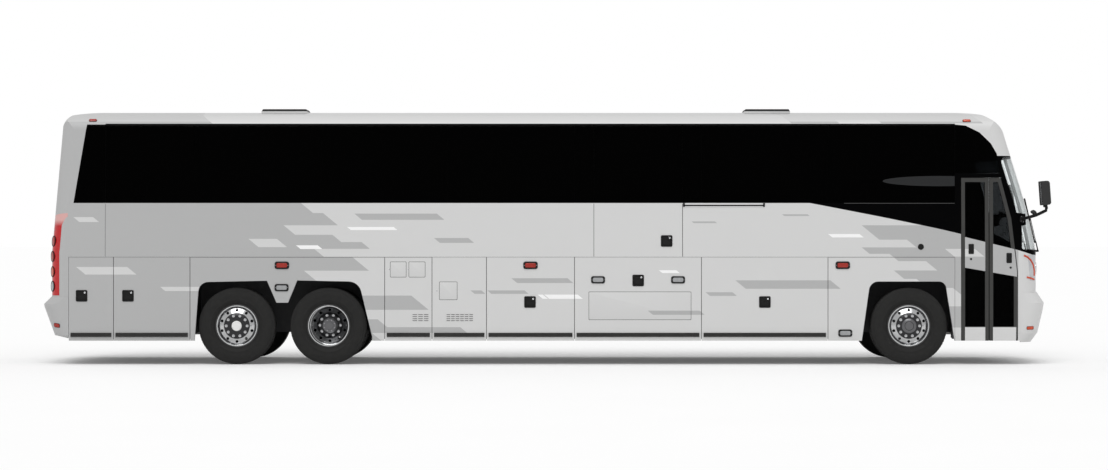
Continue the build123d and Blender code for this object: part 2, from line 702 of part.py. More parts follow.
# ---- wheelhouses: boxes open below and outward, notched where the axles pass ----
HOUSE_WALL = 20
HOUSE_INNER_Y = 500
HOUSE_TOP_Z = 1210
HOUSE_FOOT_Z = 420
AXLE_NOTCH = 130  # half width of each notch
AXLE_NOTCH_Z = 680
WHEELHOUSES = (  # back, front, axles inside
    (TAIL_DOOR_X[1] + POST_WIDTH / 2 + FIT, -2380, (TAG_AXLE_X, DRIVE_AXLE_X)),
    (4300, 5608 + POST_WIDTH / 2, (FRONT_AXLE_X,)),
)

with BuildPart() as wheelhouses:
    for side_name, side in SIDES:
        for back, front, axles in WHEELHOUSES:
            outer = side * (frame_y - FIT)
            block(back, front, side * HOUSE_INNER_Y, outer, HOUSE_FOOT_Z, HOUSE_TOP_Z)
            block(
                back + HOUSE_WALL,
                front - HOUSE_WALL,
                side * (HOUSE_INNER_Y + HOUSE_WALL),
                side * half_width,
                0,
                HOUSE_TOP_Z - HOUSE_WALL,
                mode=Mode.SUBTRACT,
            )
            for axle_x in axles:
                block(
                    axle_x - AXLE_NOTCH,
                    axle_x + AXLE_NOTCH,
                    0,
                    side * half_width,
                    0,
                    AXLE_NOTCH_Z,
                    mode=Mode.SUBTRACT,
                )
finish(wheelhouses, "wheelhouses")

# ---- underframe: a subframe at each end, its cross plates reaching up to the deck ----
CROSS_PLATE = 50
TOW_PLATE = 50  # thickness of the plate that takes a tow bar's pin
TOW_PLATE_LENGTH = 200
TOW_PLATE_WIDTH = 240
TOW_PIN_R = 20
TOW_PIN_BACK = 130  # pin from the end of the frame
SUBFRAMES = (  # back end, front end, middles of the cross plates
    (-6420, STEP_PANEL_X[0] - BULKHEAD / 2, (-6395, -4880, -3600, -2300)),
    (FRONT_BAY_X[1] + BULKHEAD / 2, 6460, (4000, 5640, 6435)),
)

with BuildPart() as underframe:
    for back, front, plates in SUBFRAMES:
        for side_name, side in SIDES:
            low_y, high_y = side * (RAIL_Y - RAIL_WIDTH / 2), side * (RAIL_Y + RAIL_WIDTH / 2)
            block(back, front, low_y, high_y, RAIL_Z, RAIL_Z + RAIL_HEIGHT)
        for plate_x in plates:
            reach = RAIL_Y + RAIL_WIDTH / 2
            block(plate_x - CROSS_PLATE / 2, plate_x + CROSS_PLATE / 2, -reach, reach, RAIL_Z, deck_z)
    for way, end_x in ((-1, SUBFRAMES[0][0]), (1, SUBFRAMES[1][1])):
        with BuildSketch(Plane.XY.offset(RAIL_Z - TOW_PLATE / 2)):
            with Locations((end_x - way * TOW_PLATE_LENGTH / 2, 0)):
                Rectangle(TOW_PLATE_LENGTH, TOW_PLATE_WIDTH)
            with Locations((end_x - way * TOW_PIN_BACK, 0)):
                Circle(TOW_PIN_R, mode=Mode.SUBTRACT)
        extrude(amount=TOW_PLATE)
finish(underframe, "underframe")

ENGINE_X = (-6200, -4930)
ENGINE_Z = (520, 1270)

with BuildPart() as engine:
    reach = RAIL_Y - RAIL_WIDTH / 2
    block(*ENGINE_X, -reach, reach, *ENGINE_Z)
finish(engine, "engine")

# ---- wheels: each a steel disc and rim turned round its hub ----
RIM_LIP = 10
RIM_WALL = 18
DISC_THICK = 14
FACE_R = 145  # bolting face
FACE_OUT = 160  # bolting face from the middle of the rim
DISC_FOOT = 75  # where the disc meets the rim
HUB_R = 105
HUB_REACH = 120  # depth of the spindle's seat past the middle of the rim
CAP_R = 64
CAP_OUT = 182
RUN = 10  # gap between a turning hub and what stands still
HUB_BACK = {"front": 45, "tag": 120}  # how far each hub reaches in

rim_half = BEAD_WIDTH / 2
bore_r = SPINDLE_R + FIT


def axle_line(x):
    """The line that a wheel turns on."""
    return Axis((x, 0, TYRE_R), (0, 1, 0))


def turned(x, outline, middle_y):
    """A solid turned on an axle from an outline of radius and distance out from middle_y on one side."""
    with BuildPart() as solid:
        with BuildSketch(Plane(origin=(x, 0, TYRE_R), x_dir=(0, 0, 1), z_dir=(-1, 0, 0))):
            Polygon(*[(radius, middle_y + out) for radius, out in outline], align=None)
        revolve(axis=axle_line(x))
    return solid.part


def single_wheel(x, side, hub_back):
    """A single wheel with its disc bulging outward and a ring of round hand holes."""
    rim_r = BEAD_R - RIM_WALL
    outline = (
        (0, CAP_OUT),
        (CAP_R, CAP_OUT),
        (CAP_R, FACE_OUT),
        (FACE_R, FACE_OUT),
        (rim_r, DISC_FOOT + DISC_THICK),
        (rim_r, rim_half + RIM_LIP),
        (FLANGE_R, rim_half + RIM_LIP),
        (FLANGE_R, rim_half),
        (BEAD_R, rim_half),
        (BEAD_R, -rim_half),
        (FLANGE_R, -rim_half),
        (FLANGE_R, -rim_half - RIM_LIP),
        (rim_r, -rim_half - RIM_LIP),
        (rim_r, DISC_FOOT),
        (HUB_R, FACE_OUT - 2 * DISC_THICK),
        (HUB_R, -hub_back),
        (bore_r, -hub_back),
        (bore_r, HUB_REACH),
        (0, HUB_REACH),
    )
    with BuildPart() as wheel:
        add(turned(x, [(radius, side * out) for radius, out in outline], side * WHEEL_Y))
        with BuildSketch(Plane(origin=(x, side * (WHEEL_Y + HUB_REACH), TYRE_R), z_dir=(0, 1, 0))):
            with PolarLocations(HAND_HOLE_PCD / 2, HAND_HOLES):
                Circle(HAND_HOLE_R)
        extrude(amount=HUB_REACH, both=True, mode=Mode.SUBTRACT)
    return wheel.part


def twin_wheel(x, side):
    """Two wheels bolted back to back on one hub, their discs dished toward each other."""
    rim_r = BEAD_R - RIM_WALL
    lip = TWIN_GAP / 2 + rim_half
    inner_lip = TWIN_GAP / 2 - rim_half
    dish = TWIN_GAP / 2 - DISC_FOOT
    outline = (
        (0, HUB_REACH + CAP_R / 2),
        (HUB_R - RIM_LIP, HUB_REACH + CAP_R / 2),
        (HUB_R - RIM_LIP, DISC_THICK),
        (FACE_R, DISC_THICK),
        (rim_r, dish),
        (rim_r, lip + RIM_LIP),
        (FLANGE_R, lip + RIM_LIP),
        (FLANGE_R, lip),
        (BEAD_R, lip),
        (BEAD_R, inner_lip),
        (FLANGE_R, inner_lip),
        (FLANGE_R, -inner_lip),
        (BEAD_R, -inner_lip),
        (BEAD_R, -lip),
        (FLANGE_R, -lip),
        (FLANGE_R, -lip - RIM_LIP),
        (rim_r, -lip - RIM_LIP),
        (rim_r, -dish),
        (FACE_R, -DISC_THICK),
        (HUB_R, -DISC_THICK),
        (HUB_R, -lip),
        (bore_r, -lip),
        (bore_r, HUB_REACH),
        (0, HUB_REACH),
    )
    middle_y = side * (WHEEL_Y - TWIN_GAP / 2)
    with BuildPart() as wheel:
        add(turned(x, [(radius, side * out) for radius, out in outline], middle_y))
        with BuildSketch(Plane(origin=(x, middle_y, TYRE_R), z_dir=(0, 1, 0))):
            with PolarLocations(HAND_HOLE_PCD / 2, HAND_HOLES):
                Circle(HAND_HOLE_R)
        extrude(amount=lip, both=True, mode=Mode.SUBTRACT)
    return wheel.part


TREAD_HALF = 128
SIDEWALL_R = 425  # radius at the widest part of the tyre


def tyre_ring(x, middle_y):
    """A tyre on its rim."""
    outline = (
        (BEAD_R, rim_half),
        (FLANGE_R, rim_half),
        (SIDEWALL_R, TYRE_WIDTH / 2),
        (TYRE_R, TREAD_HALF),
        (TYRE_R, -TREAD_HALF),
        (SIDEWALL_R, -TYRE_WIDTH / 2),
        (FLANGE_R, -rim_half),
        (BEAD_R, -rim_half),
    )
    return turned(x, outline, middle_y)


for side_name, side in SIDES:
    for place, axle_x in (("front", FRONT_AXLE_X), ("tag", TAG_AXLE_X)):
        with BuildPart() as wheel:
            add(single_wheel(axle_x, side, HUB_BACK[place]))
        finish(wheel, f"wheel_{place}_{side_name}")
        with BuildPart() as tyre:
            add(tyre_ring(axle_x, side * WHEEL_Y))
        finish(tyre, f"tyre_{place}_{side_name}")
    with BuildPart() as wheel:
        add(twin_wheel(DRIVE_AXLE_X, side))
    finish(wheel, f"wheels_drive_{side_name}")
    with BuildPart() as tyres:
        add(tyre_ring(DRIVE_AXLE_X, side * WHEEL_Y))
        add(tyre_ring(DRIVE_AXLE_X, side * (WHEEL_Y - TWIN_GAP)))
    finish(tyres, f"tyres_drive_{side_name}")

# ---- axles, with an air spring under each rail ----
AXLE_R = 65
SPRING_R = 100
BEAM_HALF_X = 50
BEAM_HALF_Z = 50
BOSS_R = 55
BOSS_HALF = 80
YOKE = 30  # thickness of the knuckle's lugs and web
DIFFERENTIAL_R = 190

twin_middle = WHEEL_Y - TWIN_GAP / 2
FIXED_AXLES = (  # name, place along the body, end of the tube, end of the spindle, radius of the middle
    (
        "drive",
        DRIVE_AXLE_X,
        twin_middle - TWIN_GAP / 2 - rim_half - RUN,
        twin_middle + HUB_REACH - FIT,
        DIFFERENTIAL_R,
    ),
    ("tag", TAG_AXLE_X, WHEEL_Y - HUB_BACK["tag"] - RUN, WHEEL_Y + HUB_REACH - FIT, AXLE_R),
)

for name, axle_x, tube_end, spindle_end, middle_r in FIXED_AXLES:
    with BuildPart() as axle:
        with BuildSketch(Plane.XZ):
            with Locations((axle_x, TYRE_R)):
                Circle(AXLE_R)
        extrude(amount=tube_end, both=True)
        with BuildSketch(Plane.XZ):
            with Locations((axle_x, TYRE_R)):
                Circle(SPINDLE_R)
        extrude(amount=spindle_end, both=True)
        if middle_r > AXLE_R:
            with Locations((axle_x, 0, TYRE_R)):
                Sphere(middle_r)
        with BuildSketch(Plane.XY.offset(TYRE_R)):
            with Locations((axle_x, RAIL_Y), (axle_x, -RAIL_Y)):
                Circle(SPRING_R)
        extrude(amount=RAIL_Z - TYRE_R)
    finish(axle, f"{name}_axle")

with BuildPart() as front_axle:
    block(
        FRONT_AXLE_X - BEAM_HALF_X,
        FRONT_AXLE_X + BEAM_HALF_X,
        -KINGPIN_Y,
        KINGPIN_Y,
        TYRE_R - BEAM_HALF_Z,
        TYRE_R + BEAM_HALF_Z,
    )
    with BuildSketch(Plane.XY.offset(TYRE_R - BOSS_HALF)):
        with Locations((FRONT_AXLE_X, KINGPIN_Y), (FRONT_AXLE_X, -KINGPIN_Y)):
            Circle(BOSS_R)
    extrude(amount=2 * BOSS_HALF)
    with BuildSketch(Plane.XY.offset(TYRE_R - BOSS_HALF)):
        with Locations((FRONT_AXLE_X, KINGPIN_Y), (FRONT_AXLE_X, -KINGPIN_Y)):
            Circle(KINGPIN_R + FIT)
    extrude(amount=2 * BOSS_HALF, mode=Mode.SUBTRACT)
    with BuildSketch(Plane.XY.offset(TYRE_R + BEAM_HALF_Z)):
        with Locations((FRONT_AXLE_X, RAIL_Y), (FRONT_AXLE_X, -RAIL_Y)):
            Circle(SPRING_R)
    extrude(amount=RAIL_Z - TYRE_R - BEAM_HALF_Z)
finish(front_axle, "front_axle")

# ---- steering knuckles: a yoke round the axle's boss, the kingpin, and the spindle ----
yoke_outer = WHEEL_Y - HUB_BACK["front"] - RUN

for side_name, side in SIDES:
    with BuildPart() as knuckle:
        for low in (TYRE_R + BOSS_HALF + FIT, TYRE_R - BOSS_HALF - FIT - YOKE):
            with BuildSketch(Plane.XY.offset(low)):
                with Locations((FRONT_AXLE_X, side * KINGPIN_Y)):
                    Circle(BOSS_R)
                with Locations((FRONT_AXLE_X, side * (KINGPIN_Y + yoke_outer) / 2)):
                    Rectangle(2 * BOSS_R, yoke_outer - KINGPIN_Y)
            extrude(amount=YOKE)
        block(
            FRONT_AXLE_X - BOSS_R,
            FRONT_AXLE_X + BOSS_R,
            side * (yoke_outer - YOKE),
            side * yoke_outer,
            TYRE_R - BOSS_HALF - YOKE,
            TYRE_R + BOSS_HALF + YOKE,
        )
        with BuildSketch(Plane.XY.offset(TYRE_R - BOSS_HALF - YOKE)):
            with Locations((FRONT_AXLE_X, side * KINGPIN_Y)):
                Circle(KINGPIN_R)
        extrude(amount=2 * (BOSS_HALF + YOKE))
        with BuildSketch(Plane.XZ.offset(-side * (yoke_outer - YOKE))):
            with Locations((FRONT_AXLE_X, TYRE_R)):
                Circle(SPINDLE_R)
        extrude(amount=-side * (WHEEL_Y + HUB_REACH - FIT - yoke_outer + YOKE))
    finish(knuckle, f"knuckle_{side_name}")

# ---- seats: a row of pairs on each side of the aisle, and the driver's seat ----
SEAT_ROWS = 13
FIRST_ROW_X = -5350
ROW_PITCH = 845
AISLE_HALF = 230
SEAT_OUTER_Y = 1150
SEAT_OUTLINE = (  # one seat seen from the side: distance forward, height above the deck
    (90, 0),
    (330, 0),
    (330, 330),
    (470, 340),
    (470, 450),
    (70, 440),
    (-60, 1140),
    (-170, 1140),
    (-50, 340),
    (90, 330),
)
DRIVER_SEAT = (5480, 440, 980)  # place along the body, inner and outer side

seat_places = [DRIVER_SEAT]
for row in range(SEAT_ROWS):
    for side_name, side in SIDES:
        seat_places.append((FIRST_ROW_X + row * ROW_PITCH, side * AISLE_HALF, side * SEAT_OUTER_Y))

with BuildPart() as seats:
    for seat_x, inner, outer in seat_places:
        with BuildSketch(Plane.XZ.offset(-max(inner, outer))):
            Polygon(*[(seat_x + along, DECK_TOP_Z + up) for along, up in SEAT_OUTLINE], align=None)
        extrude(amount=abs(outer - inner))
finish(seats, "seats")

# ---- dash, with the steering wheel on its column ----
DASH_OUTLINE = (
    (6090, DECK_TOP_Z),
    (6480, DECK_TOP_Z),
    (6560, 1560),
    (6560, 1640),
    (6260, 1800),
    (6090, 1740),
)
DASH_Y = (-420, 1130)
WHEEL_R = 230
WHEEL_RIM = 28
COLUMN_R = 30
COLUMN_TILT = 35
COLUMN_LENGTH = 400
steering_plane = Plane(
    origin=(5990, sum(DRIVER_SEAT[1:]) / 2, 1990),
    z_dir=(-sin(radians(COLUMN_TILT)), 0, cos(radians(COLUMN_TILT))),
)

with BuildPart() as dash:
    with BuildSketch(Plane.XZ.offset(-DASH_Y[1])):
        Polygon(*DASH_OUTLINE, align=None)
    extrude(amount=DASH_Y[1] - DASH_Y[0])
    with BuildSketch(steering_plane):
        Circle(WHEEL_R)
        Circle(WHEEL_R - WHEEL_RIM, mode=Mode.SUBTRACT)
        Rectangle(2 * WHEEL_R - WHEEL_RIM, 2 * COLUMN_R)
        Circle(2 * COLUMN_R)
    extrude(amount=WHEEL_RIM)
    with BuildSketch(steering_plane):
        Circle(COLUMN_R)
    extrude(amount=-COLUMN_LENGTH)
finish(dash, "dash")

# ---- mirrors: an arm from the corner post, with a head and a round lower mirror ----
MIRROR_FOOT = (6530, 1256.2, 1990)
MIRROR_FOOT_WAY = (0.488, 0.861, 0.142)  # square to the corner post
MIRROR_FOOT_SIZE = (70, 90, 22)
MIRROR_ROUTE = ((6610, 1420, 1975), (6790, 1560, 2080), (6790, 1590, 2200))
MIRROR_HEAD = (6790, 1590, 2345)
MIRROR_SIZE = (130, 240, 330)
MIRROR_ROUND = 45
MIRROR_ARM_R = 17
ROUND_MIRROR = (6650, 1450, 2050)
ROUND_MIRROR_R = 52
ROUND_MIRROR_HALF = 25  # half its depth

with BuildPart() as mirrors:
    for side_name, side in SIDES:
        foot, *route = [(x, side * y, z) for x, y, z in (MIRROR_FOOT, *MIRROR_ROUTE)]
        with BuildLine() as arm:
            FilletPolyline((foot[0], foot[1] + side * MIRROR_ARM_R, foot[2]), *route, radius=60)
        with BuildSketch(Plane(origin=arm.line @ 0, z_dir=arm.line % 0)):
            Circle(MIRROR_ARM_R)
        sweep(path=arm.line)
        way_x, way_y, way_z = MIRROR_FOOT_WAY
        along, out = (way_y, -side * way_x, 0), (way_x, side * way_y, way_z)
        with BuildSketch(Plane(origin=foot, x_dir=along, z_dir=out)):
            RectangleRounded(*MIRROR_FOOT_SIZE[:2], 20)
        extrude(amount=MIRROR_FOOT_SIZE[2])
        x, y, z = MIRROR_HEAD
        with BuildSketch(Plane.XY.offset(z - MIRROR_SIZE[2] / 2)):
            with Locations((x, side * y)):
                RectangleRounded(MIRROR_SIZE[0], MIRROR_SIZE[1], MIRROR_ROUND)
        extrude(amount=MIRROR_SIZE[2])
        x, y, z = ROUND_MIRROR
        with BuildSketch(Plane.YZ.offset(x)):
            with Locations((side * y, z)):
                Circle(ROUND_MIRROR_R)
        extrude(amount=ROUND_MIRROR_HALF, both=True)
finish(mirrors, "mirrors")

# ---- wipers: a pivot in the cowl, with an arm and a blade up the glass ----
WIPER_Y = 520
WIPER_PIVOT_Z = 1552
WIPER_LENGTH = 760
WIPER_PIVOT_R = 16
WIPER_TILT = 13.1  # rake of the lower screen
WIPER_OFF = 42  # arm's middle from the cowl's face
WIPER_SECTION = (18, 34)
wiper_x = nose_x - 21.8

with BuildPart() as wipers:
    for side_name, side in SIDES:
        with BuildSketch(Plane.YZ.offset(wiper_x)):
            with Locations((side * WIPER_Y, WIPER_PIVOT_Z)):
                Circle(WIPER_PIVOT_R)
        extrude(amount=WIPER_OFF)
        foot = Location((wiper_x + WIPER_OFF, side * WIPER_Y, WIPER_PIVOT_Z), (0, -WIPER_TILT, 0))
        with Locations(foot):
            Box(*WIPER_SECTION, WIPER_LENGTH, align=(Align.CENTER, Align.CENTER, Align.MIN))
finish(wipers, "wipers")
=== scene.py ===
"""Finishes and fittings for a three-axle coach bus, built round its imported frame."""

import itertools
import json
import math
from functools import reduce

import bmesh
import bpy
from mathutils import Matrix, Vector


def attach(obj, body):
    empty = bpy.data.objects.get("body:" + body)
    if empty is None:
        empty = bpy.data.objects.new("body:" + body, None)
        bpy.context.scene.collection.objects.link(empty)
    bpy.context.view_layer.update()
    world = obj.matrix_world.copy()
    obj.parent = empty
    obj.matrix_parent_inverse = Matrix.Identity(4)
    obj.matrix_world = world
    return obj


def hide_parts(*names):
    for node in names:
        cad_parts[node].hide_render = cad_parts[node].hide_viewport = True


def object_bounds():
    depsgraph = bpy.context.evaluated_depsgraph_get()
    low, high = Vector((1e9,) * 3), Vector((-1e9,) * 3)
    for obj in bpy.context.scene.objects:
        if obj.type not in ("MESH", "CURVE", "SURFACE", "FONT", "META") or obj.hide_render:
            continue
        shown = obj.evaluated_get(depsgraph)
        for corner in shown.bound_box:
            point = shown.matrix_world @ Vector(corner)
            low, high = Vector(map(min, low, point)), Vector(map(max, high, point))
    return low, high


bl_info = {
    "name": "Coach finishes and fittings",
    "version": (1, 0, 0),
    "blender": (4, 5, 0),
    "location": "View3D > Sidebar > Coach",
    "description": "Paint, glass, tyres, lamps, seats and fittings of a coach bus",
    "category": "Object",
}

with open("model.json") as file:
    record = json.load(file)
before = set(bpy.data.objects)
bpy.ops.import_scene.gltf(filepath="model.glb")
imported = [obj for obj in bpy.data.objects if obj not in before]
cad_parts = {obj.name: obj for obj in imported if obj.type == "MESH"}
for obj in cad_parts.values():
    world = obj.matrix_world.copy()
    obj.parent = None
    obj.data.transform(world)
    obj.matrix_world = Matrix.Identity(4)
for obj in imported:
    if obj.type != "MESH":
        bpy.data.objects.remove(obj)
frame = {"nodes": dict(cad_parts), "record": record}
cad_low, cad_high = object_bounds()

RIGHT, LEFT = SIDES = -1, 1
SIDE_NAMES = {RIGHT: "right", LEFT: "left"}


# ---- properties: what a user would change ----
def colour(name, description, default):
    return bpy.props.FloatVectorProperty(
        name=name, description=description, default=default, subtype="COLOR", size=3, min=0, max=1
    )


def length(name, description, default):
    return bpy.props.FloatProperty(name=name, description=description, default=default, unit="LENGTH")


def share(name, description, default):
    return bpy.props.FloatProperty(name=name, description=description, default=default, subtype="FACTOR", min=0, max=1)


def amount(name, description, default):
    return bpy.props.FloatProperty(name=name, description=description, default=default, min=0)


def count(name, description, default):
    return bpy.props.IntProperty(name=name, description=description, default=default, min=2)


class CoachPaint(bpy.types.PropertyGroup):
    body: colour("Body", "Silver paint of the body", (0.665, 0.665, 0.662))
    stripe: colour("Stripes", "Grey stripes and the grey rear of the body", (0.458, 0.460, 0.460))
    pale_stripe: colour("Pale stripes", "White stripes", (0.95, 0.95, 0.95))
    band: colour("Window band", "Black paint that carries the window band forward", (0.0012, 0.0012, 0.0014))
    rail: colour("Rub rail", "Rubber strip along the lower doors", (0.012, 0.012, 0.012))
    slant: amount("Slant", "Run of a stripe's end for each metre down", 1.22)
    orange_peel: share("Orange peel", "Unevenness of the paint", 0.04)


class CoachGlass(bpy.types.PropertyGroup):
    tint: colour("Side tint", "Light that one face of the side glass lets through", (0.05, 0.055, 0.06))
    door: colour("Door tint", "Light that one face of the entry door's glass lets through", (0.14, 0.145, 0.15))
    screen: colour("Windscreen tint", "Light that one face of the windscreen lets through", (0.95, 0.965, 0.965))


class CoachRubber(bpy.types.PropertyGroup):
    rubber: colour("Rubber", "Colour of the tyres", (0.014, 0.014, 0.014))
    groove_depth: length("Groove depth", "Depth of the tread grooves", 0.014)
    groove_width: length("Groove width", "Width of the tread grooves", 0.013)
    pitches: count("Pitches", "Shoulder blocks round a tyre", 72)


class CoachFittings(bpy.types.PropertyGroup):
    latch: length("Latch", "Width of a paddle latch", 0.158)
    marker: length("Marker", "Length of a side marker lamp", 0.198)
    trim: colour("Trim", "Black plastic of the latches, mirrors and wipers", (0.011, 0.011, 0.011))
    frame: colour("Door frames", "Paint of the entry door's frames", (0.036, 0.036, 0.034))


class CoachCabin(bpy.types.PropertyGroup):
    cloth: colour("Seat cloth", "Woven cloth of the seats", (0.030, 0.036, 0.055))
    plastic: colour("Plastic", "Moulded plastic of the dash and the seat shells", (0.045, 0.045, 0.048))
    floor: colour("Floor", "Vinyl floor", (0.085, 0.085, 0.092))
    fill: share("Fill", "How tight the seat cushions are", 0.7)
    pressure: amount("Pressure", "Pressure that fills a pad", 4.0)
    settling: count("Settling", "Steps that a pad takes to settle", 20)
    swell: length("Swell", "How far a point of a pad may move as it fills", 0.014)


class CoachStage(bpy.types.PropertyGroup):
    level: amount("Level", "Strength of the light all round", 0.62)
    key: amount("Key", "Strength of the sun lamp", 1.2)
    lens: amount("Lens", "Focal length in millimetres", 94.9)
    distance: length("Distance", "From the camera to the middle of the coach", 41.3)
    eye: length("Eye height", "Height of the camera", 1.774)
    shift: length("Shift", "How far the camera stands forward of the coach's middle", 0.115)


# ---- node trees ----
class Finish:
    """A material's node tree, with short calls for the nodes that the finishes share."""

    def __init__(self, name):
        self.material = bpy.data.materials.new(f"coach_{name}")
        self.material.use_nodes = True
        self.tree = self.material.node_tree
        self.surface = self.tree.nodes["Principled BSDF"]
        self.where = self.node("ShaderNodeTexCoord").outputs["Object"]
        self.x, self.y, self.z = self.node("ShaderNodeSeparateXYZ", {0: self.where}).outputs

    def set(self, node, socket, value):
        if isinstance(value, bpy.types.NodeSocket):
            self.tree.links.new(value, node.inputs[socket])
        elif node.inputs[socket].type == "RGBA" and len(value) == 3:
            node.inputs[socket].default_value = (*value, 1)
        else:
            node.inputs[socket].default_value = value

    def node(self, kind, inputs=None, **settings):
        made = self.tree.nodes.new(kind)
        for key, value in settings.items():
            setattr(made, key, value)
        for socket, value in (inputs or {}).items():
            self.set(made, socket, value)
        return made

    def math(self, operation, *values):
        return self.node("ShaderNodeMath", dict(enumerate(values)), operation=operation).outputs[0]

    def chain(self, operation, values):
        """Values taken together two by two."""
        return reduce(lambda total, value: self.math(operation, total, value), values)

    def times(self, *values):
        return self.chain("MULTIPLY", values)

    def above(self, value, limit):
        return self.math("GREATER_THAN", value, limit)

    def below(self, value, limit):
        return self.math("LESS_THAN", value, limit)

    def within(self, value, low, high):
        return self.math("COMPARE", value, (low + high) / 2, (high - low) / 2)

    def length(self, across, up):
        """How far a place is from the origin of two measures."""
        return self.math("SQRT", self.math("ADD", self.times(across, across), self.times(up, up)))

    def mix(self, share_of_b, a, b):
        return self.node("ShaderNodeMix", {0: share_of_b, 6: a, 7: b}, data_type="RGBA").outputs[2]

    def noise(self, scale, detail=3.0, roughness=0.5):
        inputs = {"Vector": self.where, "Scale": scale, "Detail": detail, "Roughness": roughness}
        return self.node("ShaderNodeTexNoise", inputs).outputs["Fac"]

    def cells(self, scale):
        return self.node("ShaderNodeTexVoronoi", {"Vector": self.where, "Scale": scale}).outputs["Distance"]

    def ribs(self, scale, direction="Z"):
        inputs = {"Vector": self.where, "Scale": scale}
        return self.node("ShaderNodeTexWave", inputs, bands_direction=direction).outputs["Fac"]

    def spread(self, value, low, high, start=0.0, end=1.0):
        """A value that runs from start to end, moved to run from low to high."""
        inputs = {"Value": value, "From Min": start, "From Max": end, "To Min": low, "To Max": high}
        return self.node("ShaderNodeMapRange", inputs).outputs["Result"]

    def bump(self, height, strength, distance):
        made = self.node("ShaderNodeBump", {"Height": height, "Strength": strength, "Distance": distance})
        self.set(self.surface, "Normal", made.outputs["Normal"])

    def principled(self, **values):
        """Set the surface's inputs, spaces written as underscores, and give the material."""
        for socket, value in values.items():
            self.set(self.surface, socket.replace("_", " "), value)
        return self.material


# ---- paint: stripes with slanted ends. Columns: back and front at the top edge, top, bottom ----
def stacked(steps, back=None, front=None):
    """Stripes that touch, from the top and the free end of each; the last row is the foot of the lowest."""
    return [
        (end if back is None else back, end if front is None else front, top, bottom)
        for (top, end), (bottom, _) in zip(steps, steps[1:])
    ]


REAR_STEPS = (
    (3.514, -4.83),
    (2.250, -3.40),
    (2.075, -3.05),
    (1.907, -3.59),
    (1.777, -2.92),
    (1.677, -2.52),
    (1.584, -3.17),
    (1.474, -2.65),
    (1.285, -3.31),
    (0.944, -1.84),
    (0.749, -3.36),
    (0.619, -2.30),
    (0.512, -1.17),
    (0.432, -2.38),
    (0.295, None),
)
GREY_REAR = stacked(REAR_STEPS, back=-9.4)  # far behind the tail, since the slant moves the stripes' ends
FRONT_STEPS = (
    (1.907, 4.33),
    (1.710, 4.95),
    (1.604, 4.33),
    (1.516, 4.71),
    (1.416, 5.21),
    (1.288, 4.77),
    (1.173, 5.08),
    (1.049, 5.58),
    (0.797, 4.58),
    (0.507, None),
)
GREY_FRONT = [*stacked(FRONT_STEPS, front=6.7), (3.12, 5.75, 3.514, 3.305)]
SILVER = (
    (-6.47, -6.20, 2.019, 1.952),
    (-6.43, -5.73, 1.336, 1.232),
    (-5.28, -4.67, 1.064, 1.007),
    (-4.07, -3.68, 1.721, 1.608),
    (5.47, 5.88, 1.584, 1.478),
    (3.97, 4.55, 3.356, 3.305),
)
WHITE = (
    (-3.42, -3.12, 1.633, 1.582),
    (-2.72, -2.08, 1.884, 1.842),
    (-0.11, -0.04, 0.958, 0.900),
    (-0.02, 0.44, 0.958, 0.900),
    (1.55, 1.79, 1.292, 1.253),
    (3.87, 4.30, 1.788, 1.741),
)
GREY = (
    (-2.62, -1.49, 2.067, 1.982),
    (-1.53, -1.06, 1.733, 1.666),
    (-0.47, 0.30, 1.182, 1.116),
    (-1.03, -0.88, 1.015, 0.968),
    (-0.80, -0.29, 1.015, 0.968),
    (2.00, 2.32, 1.960, 1.936),
    (3.24, 3.59, 2.058, 2.034),
    (2.60, 3.90, 1.153, 1.037),
    (2.19, 2.56, 0.990, 0.940),
    (1.40, 2.11, 0.738, 0.681),
)
ROOF_STRIPE_Z = 3.33
ROOF_FADE = 0.55
NOSE_GREY_X = 6.475  # the grey stripes end at the front of the door
RAIL_Z = (0.378, 0.434)
RAIL_X = (-6.53, 3.87)
SIDE_Y = 1.295  # outer face of the lower doors
WINDOWS_X = (-6.037, 5.616)  # ends of the windows' recess in the walls
WINDOWS_Z = (2.2125, 3.3005)
BAND_SILL_Z = 2.212
CENTRE_POST_Y = 0.04
SCREEN_FOOT_Z = 1.575
BAND_TOP_Z = 2.86
SEAM_HALF = 0.004
FOOT_DUST_AND_SHADE_Z = (0.30, 0.52)
# The black band's lower edge drops from the sill towards the nose: (metres along, share of the drop)
BAND_START_X = 3.62
BAND_RUN = 2.90
BAND_DROP = 0.66
BAND_EDGE = ((0.0, 0.0), (0.16, 0.135), (0.43, 0.37), (0.71, 0.64), (1.0, 1.0))
SEAMS = (  # panel joints in the walls: place along the body, bottom, top, tone, how far to the left
    (-6.032, 1.478, 2.205, 0.20, 2.0),
    (0.661, 1.478, 2.205, 0.16, 0.0),
    (1.876, 1.478, 2.205, 0.03, 0.0),
)


def stripe_mask(paint, slanted, rows):
    """1 inside any of the rows' stripes, and 0 elsewhere."""
    slant = bpy.context.scene.coach_paint.slant
    stripes = []
    for back, front, top, bottom in rows:
        along = paint.math("COMPARE", slanted, (back + front) / 2 + slant * top, (front - back) / 2)
        stripes.append(paint.times(along, paint.within(paint.z, bottom, top)))
    return paint.chain("MAXIMUM", stripes)


